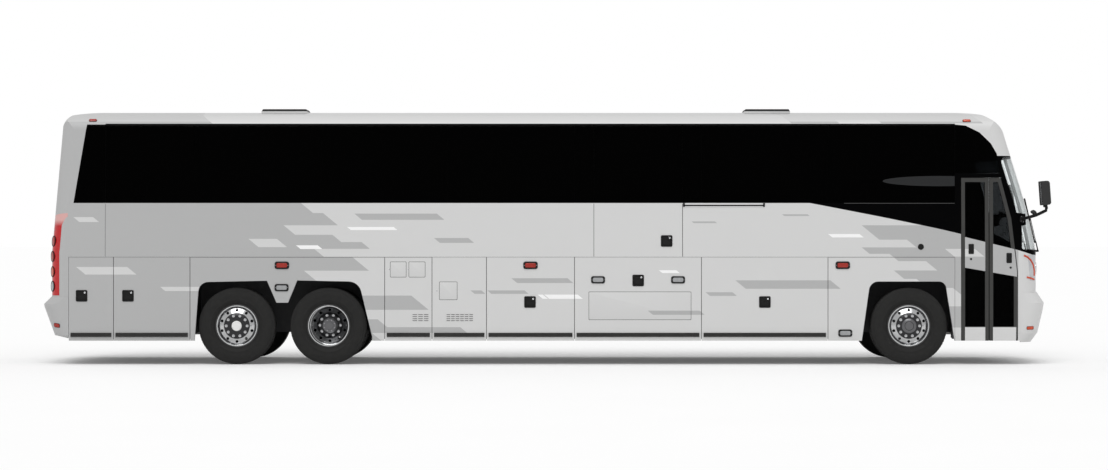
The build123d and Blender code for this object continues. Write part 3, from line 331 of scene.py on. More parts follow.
def band_mask(paint):
    """1 where the black band runs below the sill towards the nose, but not on the windscreen's centre post."""
    x, z = paint.x, paint.z
    along = paint.math("DIVIDE", paint.math("SUBTRACT", x, BAND_START_X), BAND_RUN)
    edge = paint.node("ShaderNodeFloatCurve", {"Value": along})
    points = edge.mapping.curves[0].points
    points[0].location, *between, points[-1].location = BAND_EDGE
    for where, drop in between:
        points.new(where, drop)
    edge.mapping.update()
    edge_z = paint.math("SUBTRACT", BAND_SILL_Z, paint.times(edge.outputs[0], BAND_DROP))
    beside_post = paint.above(paint.math("ABSOLUTE", paint.y), CENTRE_POST_Y)
    clear_of_post = paint.math("MAXIMUM", beside_post, paint.below(z, SCREEN_FOOT_Z))
    return paint.times(paint.above(z, edge_z), paint.above(x, BAND_START_X), paint.below(z, BAND_TOP_Z), clear_of_post)


def body_paint():
    """Silver paint with its stripes, the black band, the rub rail, the joints, and dust with painted shade along the
    foot.
    """
    choices = bpy.context.scene.coach_paint
    paint = Finish("body_paint")
    x, y, z = paint.x, paint.y, paint.z
    slanted = paint.math("MULTIPLY_ADD", z, choices.slant, x)
    flow = paint.noise(2.0, 2.0)
    body = paint.mix(paint.spread(flow, 0.0, 0.10), choices.body, (0.60, 0.61, 0.61))
    # The stripes run on over the roof in a paler grey.
    fade = paint.math("MULTIPLY_ADD", paint.above(z, ROOF_STRIPE_Z), -ROOF_FADE, 1.0)
    behind_nose = paint.times(paint.below(x, NOSE_GREY_X), fade, fade)
    recess = paint.times(paint.within(x, *WINDOWS_X), paint.within(z, *WINDOWS_Z))
    band = paint.math("MAXIMUM", recess, band_mask(paint))
    # The rub rail stands proud of the doors; nothing else at that height does.
    proud = paint.above(paint.math("ABSOLUTE", y), SIDE_Y + 0.001)
    rail = paint.times(proud, paint.within(z, *RAIL_Z), paint.within(x, *RAIL_X))
    layers = [
        (paint.times(fade, stripe_mask(paint, slanted, GREY_REAR)), choices.stripe),
        (paint.times(behind_nose, stripe_mask(paint, slanted, GREY_FRONT)), choices.stripe),
        (stripe_mask(paint, slanted, SILVER), body),
        (stripe_mask(paint, slanted, GREY), choices.stripe),
        (stripe_mask(paint, slanted, WHITE), choices.pale_stripe),
        (band, choices.band),
        (rail, choices.rail),
    ]
    for line, low, high, tone, left in SEAMS:
        seam = paint.within(x, line - SEAM_HALF, line + SEAM_HALF)
        layers.append((paint.times(seam, paint.within(z, low, high), paint.below(y, left)), (tone, tone, tone)))
    # Dust and painted shade darken the foot, most at the bottom, round and under the rub rail.
    layers.append((paint.times(paint.spread(z, 0.16, 0.0, *FOOT_DUST_AND_SHADE_Z), paint.noise(9.0, 6.0)), (0.22, 0.21, 0.19)))
    coat = body
    for mask, tone in layers:
        coat = paint.mix(mask, coat, tone)
    paint.bump(paint.noise(160.0, 1.0), choices.orange_peel, 0.0004)
    rough = paint.math("MULTIPLY_ADD", rail, 0.35, paint.spread(flow, 0.30, 0.36))
    shine = paint.mix(band, (0.35, 0.35, 0.35), (0.02, 0.02, 0.02))
    return paint.principled(Base_Color=coat, Roughness=rough, Specular_IOR_Level=shine)


LEAF_BELT = ((5.745, 1.327, 1.747), (6.460, 1.2019, 1.5704))  # along the body, lower and upper edge of the leaves' belt
LEAF_FOOT_Z = 0.514
LEAF_PANEL_X = (5.745, 6.022)  # edges of the rear leaf's back and middle stiles
FRONT_PANEL_X = 6.128  # edge of the front leaf's middle stile
FRONT_STILE = ((0.30, 6.443), (1.27, 6.457), (1.62, 6.416), (2.06, 6.348), (2.56, 6.190))  # height, inner edge


def straight(paint, value, low, high):
    """The straight line through two points (value, result), read at a value."""
    (start, start_result), (end, end_result) = low, high
    slope = (end_result - start_result) / (end - start)
    return paint.math("MULTIPLY_ADD", value, slope, start_result - slope * start)


def leaf_paint():
    """The entry door's leaves: dark frames, with a painted panel at the belt and at the foot."""
    choices = bpy.context.scene.coach_paint
    paint = Finish("leaf_paint")
    x, z = paint.x, paint.z
    (back, low_back, high_back), (front, low_front, high_front) = LEAF_BELT
    over = paint.above(z, straight(paint, x, (back, low_back), (front, low_front)))
    under = paint.below(z, straight(paint, x, (back, high_back), (front, high_front)))
    panel = paint.math("MAXIMUM", paint.times(over, under), paint.below(z, LEAF_FOOT_Z))
    edge = paint.chain("MINIMUM", [straight(paint, z, *ends) for ends in zip(FRONT_STILE, FRONT_STILE[1:])])
    front_panel = paint.times(paint.above(x, FRONT_PANEL_X), paint.below(x, edge))
    painted = paint.times(panel, paint.math("MAXIMUM", paint.within(x, *LEAF_PANEL_X), front_panel))
    slanted = paint.math("MULTIPLY_ADD", z, choices.slant, x)
    coat = paint.mix(stripe_mask(paint, slanted, GREY_FRONT), choices.body, choices.stripe)
    coat = paint.mix(stripe_mask(paint, slanted, SILVER), coat, choices.body)
    dark = paint.mix(paint.noise(5.0, 5.0), bpy.context.scene.coach_fittings.frame, (0.05, 0.05, 0.048))
    paint.bump(paint.noise(160.0, 1.0), choices.orange_peel, 0.0004)
    rough = paint.math("MULTIPLY_ADD", painted, -0.12, 0.45)
    return paint.principled(Base_Color=paint.mix(painted, dark, coat), Roughness=rough, Specular_IOR_Level=0.3)


# ---- glass, metal, rubber and plastic ----
GREY_OVAL = (5.40, 2.513, 0.78, 0.070, 5.606)  # middle along the body, height, half its length and depth, cut off here
OVAL_TONE = (0.030, 0.031, 0.032)


def grey_oval_mask(glass):
    """1 on a long pale oval on the foremost window of the door side."""
    middle, height, half, depth, end = GREY_OVAL
    along = glass.math("DIVIDE", glass.math("SUBTRACT", glass.x, middle), half)
    up = glass.math("DIVIDE", glass.math("SUBTRACT", glass.z, height), depth)
    inside = glass.below(glass.length(along, up), 1.0)
    return glass.times(inside, glass.below(glass.x, end), glass.below(glass.y, 0.0))


def tinted(name, tint, shine, roughness, grey_oval=False):
    """Thin glass: light passes straight through it, dimmed, and its face gives a plain reflection."""
    glass = Finish(name)
    clear = glass.node("ShaderNodeBsdfTransparent", {"Color": tint})
    ripple = glass.node("ShaderNodeBump", {"Height": glass.noise(1.2, 1.0), "Strength": 0.05, "Distance": 0.002})
    inputs = {"Color": (shine, shine, shine), "Roughness": roughness, "Normal": ripple.outputs[0]}
    gloss = glass.node("ShaderNodeBsdfGlossy", inputs)
    # Only a face seen from outside the glass reflects, so no ray is caught inside a pane.
    outside = glass.math("SUBTRACT", 1.0, glass.node("ShaderNodeNewGeometry").outputs["Backfacing"])
    share_of_gloss = glass.times(glass.node("ShaderNodeFresnel", {"IOR": 1.45}).outputs[0], shine, outside)
    both = glass.node("ShaderNodeMixShader", {0: share_of_gloss, 1: clear.outputs[0], 2: gloss.outputs[0]})
    # A long pale oval of plain colour on the glass.
    if grey_oval:
        oval_surface = glass.node("ShaderNodeBsdfDiffuse", {"Color": OVAL_TONE})
        both = glass.node("ShaderNodeMixShader", {0: grey_oval_mask(glass), 1: both.outputs[0], 2: oval_surface.outputs[0]})
    glass.set(glass.tree.nodes["Material Output"], "Surface", both.outputs[0])
    glass.tree.nodes.remove(glass.surface)
    return glass.material


def worn_paint(name, tone, roughness, dust_tone=(0.10, 0.095, 0.09)):
    """Chassis paint with dust lying on it in patches."""
    paint = Finish(name)
    dust = paint.noise(6.0, 6.0, 0.65)
    coat = paint.mix(paint.spread(dust, 0.0, 0.35, 0.5, 0.75), tone, dust_tone)
    paint.bump(paint.noise(90.0, 2.0), 0.25, 0.001)
    return paint.principled(Base_Color=coat, Roughness=paint.spread(dust, roughness - 0.08, roughness + 0.12))


def moulded(name, tone, roughness, grain_scale=420.0):
    """Moulded plastic with a fine leathery grain."""
    plastic = Finish(name)
    cloud = plastic.noise(3.0, 3.0)
    lighter = tuple(min(1, channel * 1.25 + 0.002) for channel in tone)
    base = plastic.mix(plastic.spread(cloud, 0.0, 0.5), tone, lighter)
    rough = plastic.spread(cloud, roughness - 0.05, roughness + 0.05)
    plastic.bump(plastic.cells(grain_scale), 0.25, 0.0006)
    return plastic.principled(Base_Color=base, Roughness=rough, Specular_IOR_Level=0.15)


def polished(name, tone, roughness):
    """Turned and polished metal, with faint brushing."""
    metal = Finish(name)
    smear = metal.noise(24.0, 4.0)
    base = metal.mix(metal.spread(smear, 0.0, 0.2), tone, (0.35, 0.35, 0.36))
    rough = metal.spread(smear, roughness * 0.8, roughness * 1.6)
    metal.bump(metal.noise(300.0, 2.0), 0.05, 0.0004)
    return metal.principled(Base_Color=base, Roughness=rough, Metallic=1.0)


def glowless_lens(name, tone, roughness=0.12, ribs=26.0, depth=0.35):
    """A coloured lamp lens, moulded with fine ribs, unlit."""
    lens = Finish(name)
    deep = tuple(channel * 0.55 for channel in tone)
    base = lens.mix(lens.spread(lens.noise(30.0, 2.0), 0.0, 0.8), tone, deep)
    lens.bump(lens.ribs(ribs), depth, 0.0015)
    return lens.principled(Base_Color=base, Roughness=roughness, Specular_IOR_Level=0.5)


# ---- finishes of the frame's own nodes, one for each material slot ----
def head_lamp_lens():
    """Clear lens over a bright bowl, turning amber where it is seen along its face."""
    lens = Finish("head_lamp_lens")
    bowl = lens.mix(lens.noise(14.0, 2.0), (0.62, 0.63, 0.64), (0.42, 0.43, 0.45))
    edge = lens.above(lens.node("ShaderNodeLayerWeight", {"Blend": 0.35}).outputs["Facing"], 0.80)
    base = lens.mix(edge, bowl, (0.72, 0.10, 0.03))
    return lens.principled(Base_Color=base, Roughness=0.08, Specular_IOR_Level=0.6)


def tail_lamp_lens():
    """Red lens, paler towards its top."""
    lens = Finish("tail_lamp_lens")
    red = lens.mix(lens.noise(40.0, 2.0), (0.62, 0.012, 0.016), (0.38, 0.006, 0.008))
    base = lens.mix(lens.spread(lens.z, 0.0, 1.0, 1.90, 1.98), red, (0.70, 0.40, 0.38))
    lens.bump(lens.ribs(22.0), 0.3, 0.002)
    return lens.principled(Base_Color=base, Roughness=0.1, Specular_IOR_Level=0.5)


AXLE_Z = 0.528
AXLES_X = (4.982, -2.977, -4.234)
HUB_DISC_R = 0.178
BARREL_SHADE_R = (0.238, 0.262)  # painted shade, with the dark tyre's painted reflection, on the metal between the disc and the lip of the rim
BRIGHT_R = 0.280


def wheel_alloy():
    """Polished wheel: a dark disc under the nuts, and bright metal from there out to the rim, with painted shade on the
    barrel inside the rim's lip.
    """
    alloy = Finish("wheel_alloy")
    axles = [alloy.math("ABSOLUTE", alloy.math("SUBTRACT", alloy.x, axle_x)) for axle_x in AXLES_X]
    reach = alloy.length(alloy.chain("MINIMUM", axles), alloy.math("SUBTRACT", alloy.z, AXLE_Z))
    dark = alloy.below(reach, HUB_DISC_R)
    bright = alloy.mix(alloy.spread(alloy.noise(18.0, 4.0), 0.0, 0.5), (0.66, 0.665, 0.67), (0.36, 0.365, 0.37))
    # Painted shade, with the dark tyre's painted reflection, darkens the barrel between the disc and the rim's lip.
    barrel = alloy.mix(alloy.times(alloy.within(reach, *BARREL_SHADE_R), 0.85), bright, (0.05, 0.05, 0.052))
    # The flange outside the bright ring is dark, rough and not metallic.
    flange = alloy.above(reach, BRIGHT_R)
    coat = alloy.mix(flange, alloy.mix(dark, barrel, (0.030, 0.030, 0.032)), (0.022, 0.022, 0.022))
    dull = alloy.math("MAXIMUM", alloy.times(dark, 0.5), flange)
    rough = alloy.math("MULTIPLY_ADD", dull, 0.45, 0.16)
    alloy.bump(alloy.math("SINE", alloy.times(reach, 900.0)), 0.04, 0.0004)
    return alloy.principled(Base_Color=coat, Metallic=alloy.math("SUBTRACT", 1.0, dull), Roughness=rough)


def tyre_rubber():
    """Tyre rubber, a little dusty."""
    rubber = Finish("tyre_rubber")
    dust = rubber.noise(16.0, 5.0)
    tone = bpy.context.scene.coach_rubber.rubber
    base = rubber.mix(rubber.spread(dust, 0.0, 0.5), tone, (0.042, 0.041, 0.039))
    rubber.bump(rubber.noise(260.0, 2.0), 0.3, 0.0012)
    return rubber.principled(Base_Color=base, Roughness=rubber.spread(dust, 0.55, 0.78), Specular_IOR_Level=0.15)


def seat_cloth():
    """Woven seat cloth: two crossed waves with a soft fleck."""
    cloth = Finish("seat_cloth")
    weave = cloth.math("MAXIMUM", cloth.ribs(90.0, "X"), cloth.ribs(90.0))
    tone = bpy.context.scene.coach_cabin.cloth
    base = cloth.mix(cloth.spread(cloth.noise(140.0, 3.0), 0.0, 0.6), tone, (0.10, 0.11, 0.14))
    cloth.bump(weave, 0.45, 0.0012)
    return cloth.principled(Base_Color=base, Roughness=0.9, Sheen_Weight=0.3)


def floor_vinyl():
    """Speckled vinyl floor, scuffed in patches."""
    vinyl = Finish("floor_vinyl")
    speck = vinyl.cells(160.0)
    base = vinyl.mix(vinyl.below(speck, 0.25), bpy.context.scene.coach_cabin.floor, (0.16, 0.16, 0.165))
    vinyl.bump(speck, 0.2, 0.0005)
    return vinyl.principled(Base_Color=base, Roughness=vinyl.spread(vinyl.noise(4.0, 6.0), 0.45, 0.7))


def cast_iron():
    """Painted engine iron, rough and oily in patches."""
    iron = Finish("engine_iron")
    oil = iron.noise(7.0, 5.0)
    base = iron.mix(oil, (0.13, 0.135, 0.14), (0.05, 0.045, 0.04))
    iron.bump(iron.noise(120.0, 4.0), 0.5, 0.002)
    return iron.principled(Base_Color=base, Roughness=iron.spread(oil, 0.35, 0.75), Metallic=0.4)


def slot_finishes():
    """The finish of each material slot that the record names."""
    glass = bpy.context.scene.coach_glass
    fittings = bpy.context.scene.coach_fittings
    cabin = bpy.context.scene.coach_cabin
    return {
        "body_paint": body_paint(),
        "door_frame": leaf_paint(),
        "tinted_glass": tinted("tinted_glass", glass.tint, 0.22, 0.03, True),
        "screen_glass": tinted("screen_glass", glass.screen, 1.0, 0.01),
        "lamp_clear": head_lamp_lens(),
        "lamp_red": tail_lamp_lens(),
        "black_trim": moulded("black_trim", fittings.trim, 0.5),
        "tyre_rubber": tyre_rubber(),
        "wheel_alloy": wheel_alloy(),
        "frame_steel": worn_paint("frame_steel", (0.028, 0.028, 0.030), 0.6),
        "engine_iron": cast_iron(),
        "cabin_floor": floor_vinyl(),
        "cabin_plastic": moulded("cabin_plastic", cabin.plastic, 0.6, 300.0),
        "seat_fabric": seat_cloth(),
    }


class FinishFrame(bpy.types.Operator):
    """Give every node of the frame the finish of its material slot, and the door its own glass"""

    bl_idname = "coach.finish_frame"
    bl_label = "Finish the frame"

    def execute(self, context):
        finishes = slot_finishes()
        door_glass = tinted("door_glass", context.scene.coach_glass.door, 0.22, 0.03)
        for part in frame["record"]["subparts"]:
            node = frame["nodes"][part["node"]]
            finish = door_glass if part["node"].startswith("entry_glass") else finishes[part["material_slot"]]
            if not node.material_slots:
                node.data.materials.append(finish)
            for material_slot in node.material_slots:
                material_slot.material = finish
        return {"FINISHED"}


# ---- shapes ----
def mesh_of(part, name):
    """A mesh made of a part, which is freed."""
    mesh = bpy.data.meshes.new(name)
    part.to_mesh(mesh)
    part.free()
    return mesh


def linked(name, data):
    """A new object, linked to the scene."""
    made = bpy.data.objects.new(name, data)
    bpy.context.collection.objects.link(made)
    return made


def new_verts(made):
    """The corners among what an operation made."""
    return [item for item in made["geom"] if isinstance(item, bmesh.types.BMVert)]


def soften_top(part, depth, offset):
    """Round the upper edge of a part that stands on XY."""
    edges = [edge for edge in part.edges if all(vert.co.z > depth * 0.99 for vert in edge.verts)]
    bmesh.ops.bevel(part, geom=edges, offset=offset, segments=2, profile=0.5, affect="EDGES", material=-1)


def plate(width, height, depth, corner, soften, segments=4):
    """A plate with rounded corners lying on XY, its upper edge softened."""
    part = bmesh.new()
    bmesh.ops.create_grid(part, x_segments=1, y_segments=1, size=0.5)
    bmesh.ops.scale(part, verts=part.verts, vec=(width, height, 1))
    corners = part.verts[:]
    bmesh.ops.bevel(part, geom=corners, offset=corner, segments=segments, profile=0.5, affect="VERTICES", material=-1)
    grown = bmesh.ops.extrude_face_region(part, geom=part.faces[:])
    bmesh.ops.translate(part, verts=new_verts(grown), vec=(0, 0, depth))
    soften_top(part, depth, soften)
    return part


def round_bar(radius, tip_radius, depth, sides, soften=0.0):
    """A round or many-sided bar standing on XY, its far edge softened."""
    part = bmesh.new()
    bmesh.ops.create_cone(part, cap_ends=True, segments=sides, radius1=radius, radius2=tip_radius, depth=depth)
    bmesh.ops.translate(part, verts=part.verts, vec=(0, 0, depth / 2))
    if soften:
        soften_top(part, depth, soften)
    return part


def turned(profile, steps, closed=False):
    """A shape turned about Z from points of radius and height, its ends joined where closed."""
    part = bmesh.new()
    points = [part.verts.new((radius, 0, height)) for radius, height in profile]
    edges = [part.edges.new(pair) for pair in zip(points, points[1:])]
    if closed:
        edges.append(part.edges.new((points[-1], points[0])))
    turn = {"cent": (0, 0, 0), "axis": (0, 0, 1), "angle": math.tau, "steps": steps, "use_merge": True}
    bmesh.ops.spin(part, geom=points + edges, **turn)
    bmesh.ops.remove_doubles(part, verts=part.verts, dist=1e-5)
    bmesh.ops.recalc_face_normals(part, faces=part.faces)
    return part


def at(x, y, z):
    """A place moved from the origin, unturned."""
    return Matrix.Translation((x, y, z))


def tilt(degrees, axis):
    """A turn about an axis."""
    return Matrix.Rotation(math.radians(degrees), 4, axis)


def merge(shape, part, place=Matrix(), finish=0):
    """Put a part into a shape at its place, with the number of its finish or None for its own, and free it."""
    bmesh.ops.transform(part, matrix=place, verts=part.verts)
    if finish is not None:
        for face in part.faces:
            face.material_index = finish
    carrier = mesh_of(part, "carrier")
    shape.from_mesh(carrier)
    bpy.data.meshes.remove(carrier)


def publish(shape, name, finishes, body, covers=(), crease=32):
    """Make a shape a piece that rides on a body, and that may stand for nodes of the frame."""
    bmesh.ops.recalc_face_normals(shape, faces=shape.faces)
    for face in shape.faces:
        face.smooth = True
    for edge in shape.edges:
        edge.smooth = edge.calc_face_angle(math.pi) < math.radians(crease)
    mesh = mesh_of(shape, name)
    for finish in finishes:
        mesh.materials.append(finish)
    piece = linked(name, mesh)
    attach(piece, body)
    if covers:
        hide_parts(*covers)
    return piece


def facing(origin, outward, along):
    """A place whose Z points outward and whose X runs along."""
    z_axis = Vector(outward).normalized()
    x_axis = (Vector(along) - z_axis * z_axis.dot(Vector(along))).normalized()
    y_axis = z_axis.cross(x_axis)
    turn = Matrix((x_axis, y_axis, z_axis)).transposed().to_4x4()
    return Matrix.Translation(origin) @ turn


FAR = Vector((9.0, 4.0, 0.0))  # outside the body: past its ends, and out from its middle


def struck(node, start, way, along, sink):
    """The place on a node's outer face that a ray meets first, with Z square to the face and X along."""
    way = Vector(way)
    met, point, normal, _ = frame["nodes"][node].ray_cast(Vector(start), way)
    if not met:
        raise RuntimeError(f"nothing of {node} at {start}")
    if normal.dot(way) > 0:
        normal = -normal
    return facing(point - normal * sink, normal, along)


def skin(node, x, z, side, sink=0.0):
    """The place on a node's outer face on one side, with X forward or back so that Y is up."""
    return struck(node, (x, side * FAR.y, z), (0, -side, 0), (-side, 0, 0), sink)


def end_skin(node, y, z, way):
    """The place on the outer face of a node at the nose (way 1) or the tail (way -1), with Y up."""
    return struck(node, (way * FAR.x, y, z), (-way, 0, 0), (0, way, 0), 0.0)


def named(*names):
    """Finishes made earlier; the frame's own plain materials bear the same names without the prefix."""
    return [bpy.data.materials[f"coach_{name}"] for name in names]


# ---- tyres and wheels ----
WHEEL_Y = 1.105
TWIN_GAP = 0.345
WHEELS = (  # place, body, axle's place along the body, middle of the outer rim's disc face from the centreline
    ("front", "front_wheel", AXLES_X[0], 1.265),
    ("drive", "drive_wheels", AXLES_X[1], 0.9465),
    ("tag", "tag_wheel", AXLES_X[2], 1.265),
)
BOLT_RING = 0.14288
NUTS = 10
TYRE_HALF = (  # half of a tyre's section from the bead to the middle of the tread: radius, distance out
    (0.2875, 0.1160),
    (0.3010, 0.1165),
    (0.3090, 0.1260),
    (0.3220, 0.1335),
    (0.3500, 0.1440),
    (0.3525, 0.1462),
    (0.3610, 0.1480),
    (0.3640, 0.1470),
    (0.3950, 0.1525),
    (0.4260, 0.1545),
    (0.4560, 0.1525),
    (0.4750, 0.1480),
    (0.4780, 0.1492),
    (0.4850, 0.1470),
    (0.4870, 0.1440),
    (0.5040, 0.1385),
    (0.5200, 0.1300),
    (0.5245, 0.1240),
)
GROOVES = ((0.088, 0.5262), (0.034, 0.5276))  # distance out, radius of the tread beside it
SHOULDER_OUT = (0.098, 0.1335)
SHOULDER_R = 0.5205
NOTCH_EDGE = 0.0025
NOTCH_SHARE = 0.7  # depth of a notch as a share of a groove's


def tread_half(depth, width):
    """The tread from its shoulder to its middle: radius, distance out, with two round grooves."""
    points = []
    for groove_y, crown in GROOVES:
        points += [
            (crown, groove_y + width / 2),
            (crown - depth, groove_y + width / 3),
            (crown - depth, groove_y - width / 3),
            (crown + 0.0004, groove_y - width / 2),
        ]
    return points


def tyre_shape():
    """A tyre about Z: ribs and grooves turned in, then a notch sunk into the shoulder at each pitch."""
    choices = bpy.context.scene.coach_rubber
    half = list(TYRE_HALF) + tread_half(choices.groove_depth, choices.groove_width)
    profile = half + [(radius, -out) for radius, out in reversed(half)]
    part = turned(profile, 2 * choices.pitches, True)
    step = math.pi / choices.pitches
    notches = []
    for face in part.faces:
        middle = face.calc_center_median()
        on_shoulder = SHOULDER_OUT[0] < abs(middle.z) < SHOULDER_OUT[1] and middle.xy.length > SHOULDER_R
        turn = math.atan2(middle.y, middle.x) % math.tau
        if on_shoulder and int(turn / step) % 2:
            notches.append(face)
    bmesh.ops.inset_region(part, faces=notches, thickness=NOTCH_EDGE, depth=-choices.groove_depth * NOTCH_SHARE)
    return part


def axle_place(x, y, side):
    """A place on an axle whose Z points out of the coach's side."""
    return facing((x, side * y, AXLE_Z), (0, side, 0), (-side, 0, 0))


class BuildTyres(bpy.types.Operator):
    """Turn the tyres, with their sidewall rings, tread grooves and shoulder notches"""

    bl_idname = "coach.build_tyres"
    bl_label = "Build the tyres"

    def execute(self, context):
        for side, side_name in SIDE_NAMES.items():
            for place, body, x, _ in WHEELS:
                tyres = bmesh.new()
                merge(tyres, tyre_shape(), axle_place(x, WHEEL_Y, side))
                node = f"tyre_{place}_{side_name}"
                if place == "drive":
                    merge(tyres, tyre_shape(), axle_place(x, WHEEL_Y - TWIN_GAP, side))
                    node = f"tyres_drive_{side_name}"
                body_name, name = f"{body}_{side_name}", f"treads_{place}_{side_name}"
                publish(tyres, name, named("tyre_rubber"), body_name, [node])
        return {"FINISHED"}


def ring_places(total, radius, height, first=0.0):
    """Places spread round Z, the first of them turned by a share of a step."""
    turns = [math.tau * (number + first) / total for number in range(total)]
    return [at(radius * math.cos(turn), radius * math.sin(turn), height) for turn in turns]


def nut_ring(shape, place, sink):
    """Wheel nuts on their washers, each with the end of its stud."""
    for bolt in ring_places(NUTS, BOLT_RING, -sink):
        spot = place @ bolt
        merge(shape, round_bar(0.0215, 0.0205, sink + 0.004, 24), spot, 1)
        merge(shape, round_bar(0.0185, 0.0180, sink + 0.019, 6, 0.0016), spot, 0)
        merge(shape, round_bar(0.0098, 0.0092, sink + 0.026, 14, 0.0012), spot, 1)


HUB_CAPS = {  # radius, distance out of the disc's face, in millimetres, from the rim of the cap to its middle
    "front": ((100, 0.2), (100, 6), (92, 13), (70, 17.5), (45, 25.5), (20, 28.5), (0, 29)),
    "tag": ((70, 0.2), (70, 12), (64, 23), (52, 25.5), (49, 22.5), (25, 23.5), (0, 23.5)),
    "drive": ((104.5, 0.2), (104.5, 20), (97, 24), (96.5, 139), (90, 143.5), (55, 144.5), (52, 151.5), (0, 152.5)),
}
VALVES = {  # out from the hub, up, degrees it leans
    "front": (0.208, -0.052, -24),
    "tag": (0.208, -0.052, -24),
    "drive": (0.215, 0.040, 24),
}
CAP_BOLTS = (8, 0.076, 0.142, 0.5)  # on the drive wheels: how many, radius, distance out, share of a step turned


class DressWheels(bpy.types.Operator):
    """Fit the nuts, hub caps and valves to the wheels"""

    bl_idname = "coach.dress_wheels"
    bl_label = "Dress the wheels"

    def execute(self, context):
        finishes = [
            polished("chrome", (0.80, 0.81, 0.82), 0.14),
            polished("stud_steel", (0.42, 0.42, 0.43), 0.34),
            moulded("oil_cap", (0.78, 0.78, 0.77), 0.35),
            polished("hub_metal", (0.15, 0.15, 0.155), 0.30),
        ]
        for side, side_name in SIDE_NAMES.items():
            for place, body, x, face_y in WHEELS:
                shape = bmesh.new()
                on_face = axle_place(x, face_y, side)
                nut_ring(shape, on_face, 0.004)
                cap = [(radius / 1000, out / 1000) for radius, out in HUB_CAPS[place]]
                merge(shape, turned(cap, 48), on_face, 2 if place == "tag" else 3)
                if place == "drive":
                    for spot in ring_places(*CAP_BOLTS):
                        merge(shape, round_bar(0.0085, 0.0080, 0.008, 6, 0.001), on_face @ spot, 1)
                reach, up, lean = VALVES[place]
                valve = on_face @ at(reach, 0, up) @ tilt(lean, "Y")
                merge(shape, round_bar(0.0042, 0.0042, 0.040, 12), valve, 1)
                merge(shape, round_bar(0.0058, 0.0052, 0.012, 12, 0.001), valve @ at(0, 0, 0.038), 1)
                publish(shape, f"wheel_fittings_{place}_{side_name}", finishes, f"{body}_{side_name}")
        return {"FINISHED"}


# ---- fittings along the sides ----
LOCK_COLLAR = ((1.0, 0.0), (1.0, 0.0022), (0.86, 0.0034), (0.72, 0.0034), (0.66, 0.0018), (0.0, 0.0018))


def widened(profile, radius):
    """A profile whose first column holds shares of a radius."""
    return [(share_of_radius * radius, height) for share_of_radius, height in profile]


def lock_face(shape, place, radius, finish):
    """A lock: a turned collar round a slotted barrel."""
    merge(shape, turned(widened(LOCK_COLLAR, radius), 24), place, finish)
    merge(shape, plate(radius * 0.22, radius * 0.9, 0.0006, 0.0004, 0.0001, 1), place @ at(0, 0, 0.0018))


def latch_shape(size):
    """A paddle latch: a dished plate with a pull hinged along its upper edge and a lock under it."""
    shape = bmesh.new()
    back = plate(size, size, 0.0075, size * 0.12, 0.0022)
    face = max(back.faces, key=lambda each: (each.calc_center_median().z, each.calc_area()))
    for thickness in (0.09, 0.02):
        bmesh.ops.inset_region(back, faces=[face], thickness=size * thickness, depth=0.0)
    bmesh.ops.translate(back, verts=face.verts[:], vec=(0, 0, -0.0058))
    merge(shape, back)
    pull = plate(size * 0.66, size * 0.36, 0.0050, size * 0.06, 0.0015)
    merge(shape, pull, at(0, -size * 0.14, 0.0020) @ tilt(-5, "X"))
    pin = round_bar(0.0030, 0.0030, size * 0.60, 10)
    merge(shape, pin, at(-size * 0.30, size * 0.07, 0.0044) @ tilt(90, "Y"))
    lock_face(shape, at(size * 0.27, size * 0.27, 0.0018), size * 0.080, 1)
    return shape


LATCHES = (  # node it is on, place along the body, height, sides
    ("corner_door", -6.355, 0.941, (RIGHT,)),
    ("tail_door", -5.720, 0.941, SIDES),
    ("rear_bay_door", -0.214, 0.856, SIDES),
    ("middle_bay_door", 1.268, 1.151, SIDES),
    ("front_bay_door", 3.003, 0.856, SIDES),
)
LIFT_LATCH = (1.658, 1.692)
MARKER_RATIO = 0.52
CLEAR_MARKER = 0.97  # length of a clear lamp as a share of a red one
MARKERS = (  # node it is on, place along the body, height, lens
    ("lower_panels", -3.612, 1.359, "red"),
    ("rear_bay_door", -0.207, 1.359, "red"),
    ("lower_panels", 4.070, 1.360, "red"),
    ("lower_panels", -3.616, 1.053, "clear"),
    ("middle_bay_door", 0.718, 1.160, "clear"),
    ("middle_bay_door", 1.814, 1.160, "clear"),
    ("lower_panels", 4.104, 0.430, "clear"),
)


def body_under(node, side):
    """The full name of a node along the lower side, and the body that carries it."""
    if node.endswith("_door"):
        full = f"{node}_{SIDE_NAMES[side]}"
        return full, full
    return node, "coach"


class FitLatches(bpy.types.Operator):
    """Fit the paddle latches to the lower doors and the lift door"""

    bl_idname = "coach.fit_latches"
    bl_label = "Fit the latches"

    def execute(self, context):
        for node, x, z, sides in LATCHES:
            for side in sides:
                full, body = body_under(node, side)
                self.fit(full, skin(full, x, z, side), body)
        self.fit("lift_door", skin("lift_door", *LIFT_LATCH, RIGHT), "coach")
        return {"FINISHED"}

    def fit(self, node, place, body):
        shape = latch_shape(bpy.context.scene.coach_fittings.latch)
        bmesh.ops.transform(shape, matrix=place, verts=shape.verts)
        publish(shape, f"latch_{node}", named("black_trim", "chrome"), body)


def marker_shape(width, height):
    """A marker lamp: a black bezel with a domed, ribbed lens."""
    shape = bmesh.new()
    merge(shape, plate(width, height, 0.010, height * 0.30, 0.003))
    lens = plate(width * 0.74, height * 0.60, 0.012, height * 0.18, 0.004)
    merge(shape, lens, at(0, 0, 0.006), 1)
    for way in (-1, 1):
        screw = at(way * width * 0.435, 0, 0.0095)
        merge(shape, round_bar(0.0042, 0.0036, 0.0014, 12), screw, 2)
    return shape


ROOF_AND_BUMPER_LAMPS = (  # name, node, place along the body, height, length, height of the lamp, how proud, lens
    ("roof_marker_rear", "tail_cap", -6.215, 3.345, 0.112, 0.042, 0.022, "red"),
    ("roof_marker_front", "nose_cap", 5.780, 3.340, 0.116, 0.042, 0.022, "amber"),
    ("reflector_rear", "bumpers", -6.700, 0.535, 0.108, 0.062, 0.006, "red"),
    ("reflector_front", "bumpers", 6.640, 0.500, 0.112, 0.048, 0.006, "amber"),
)


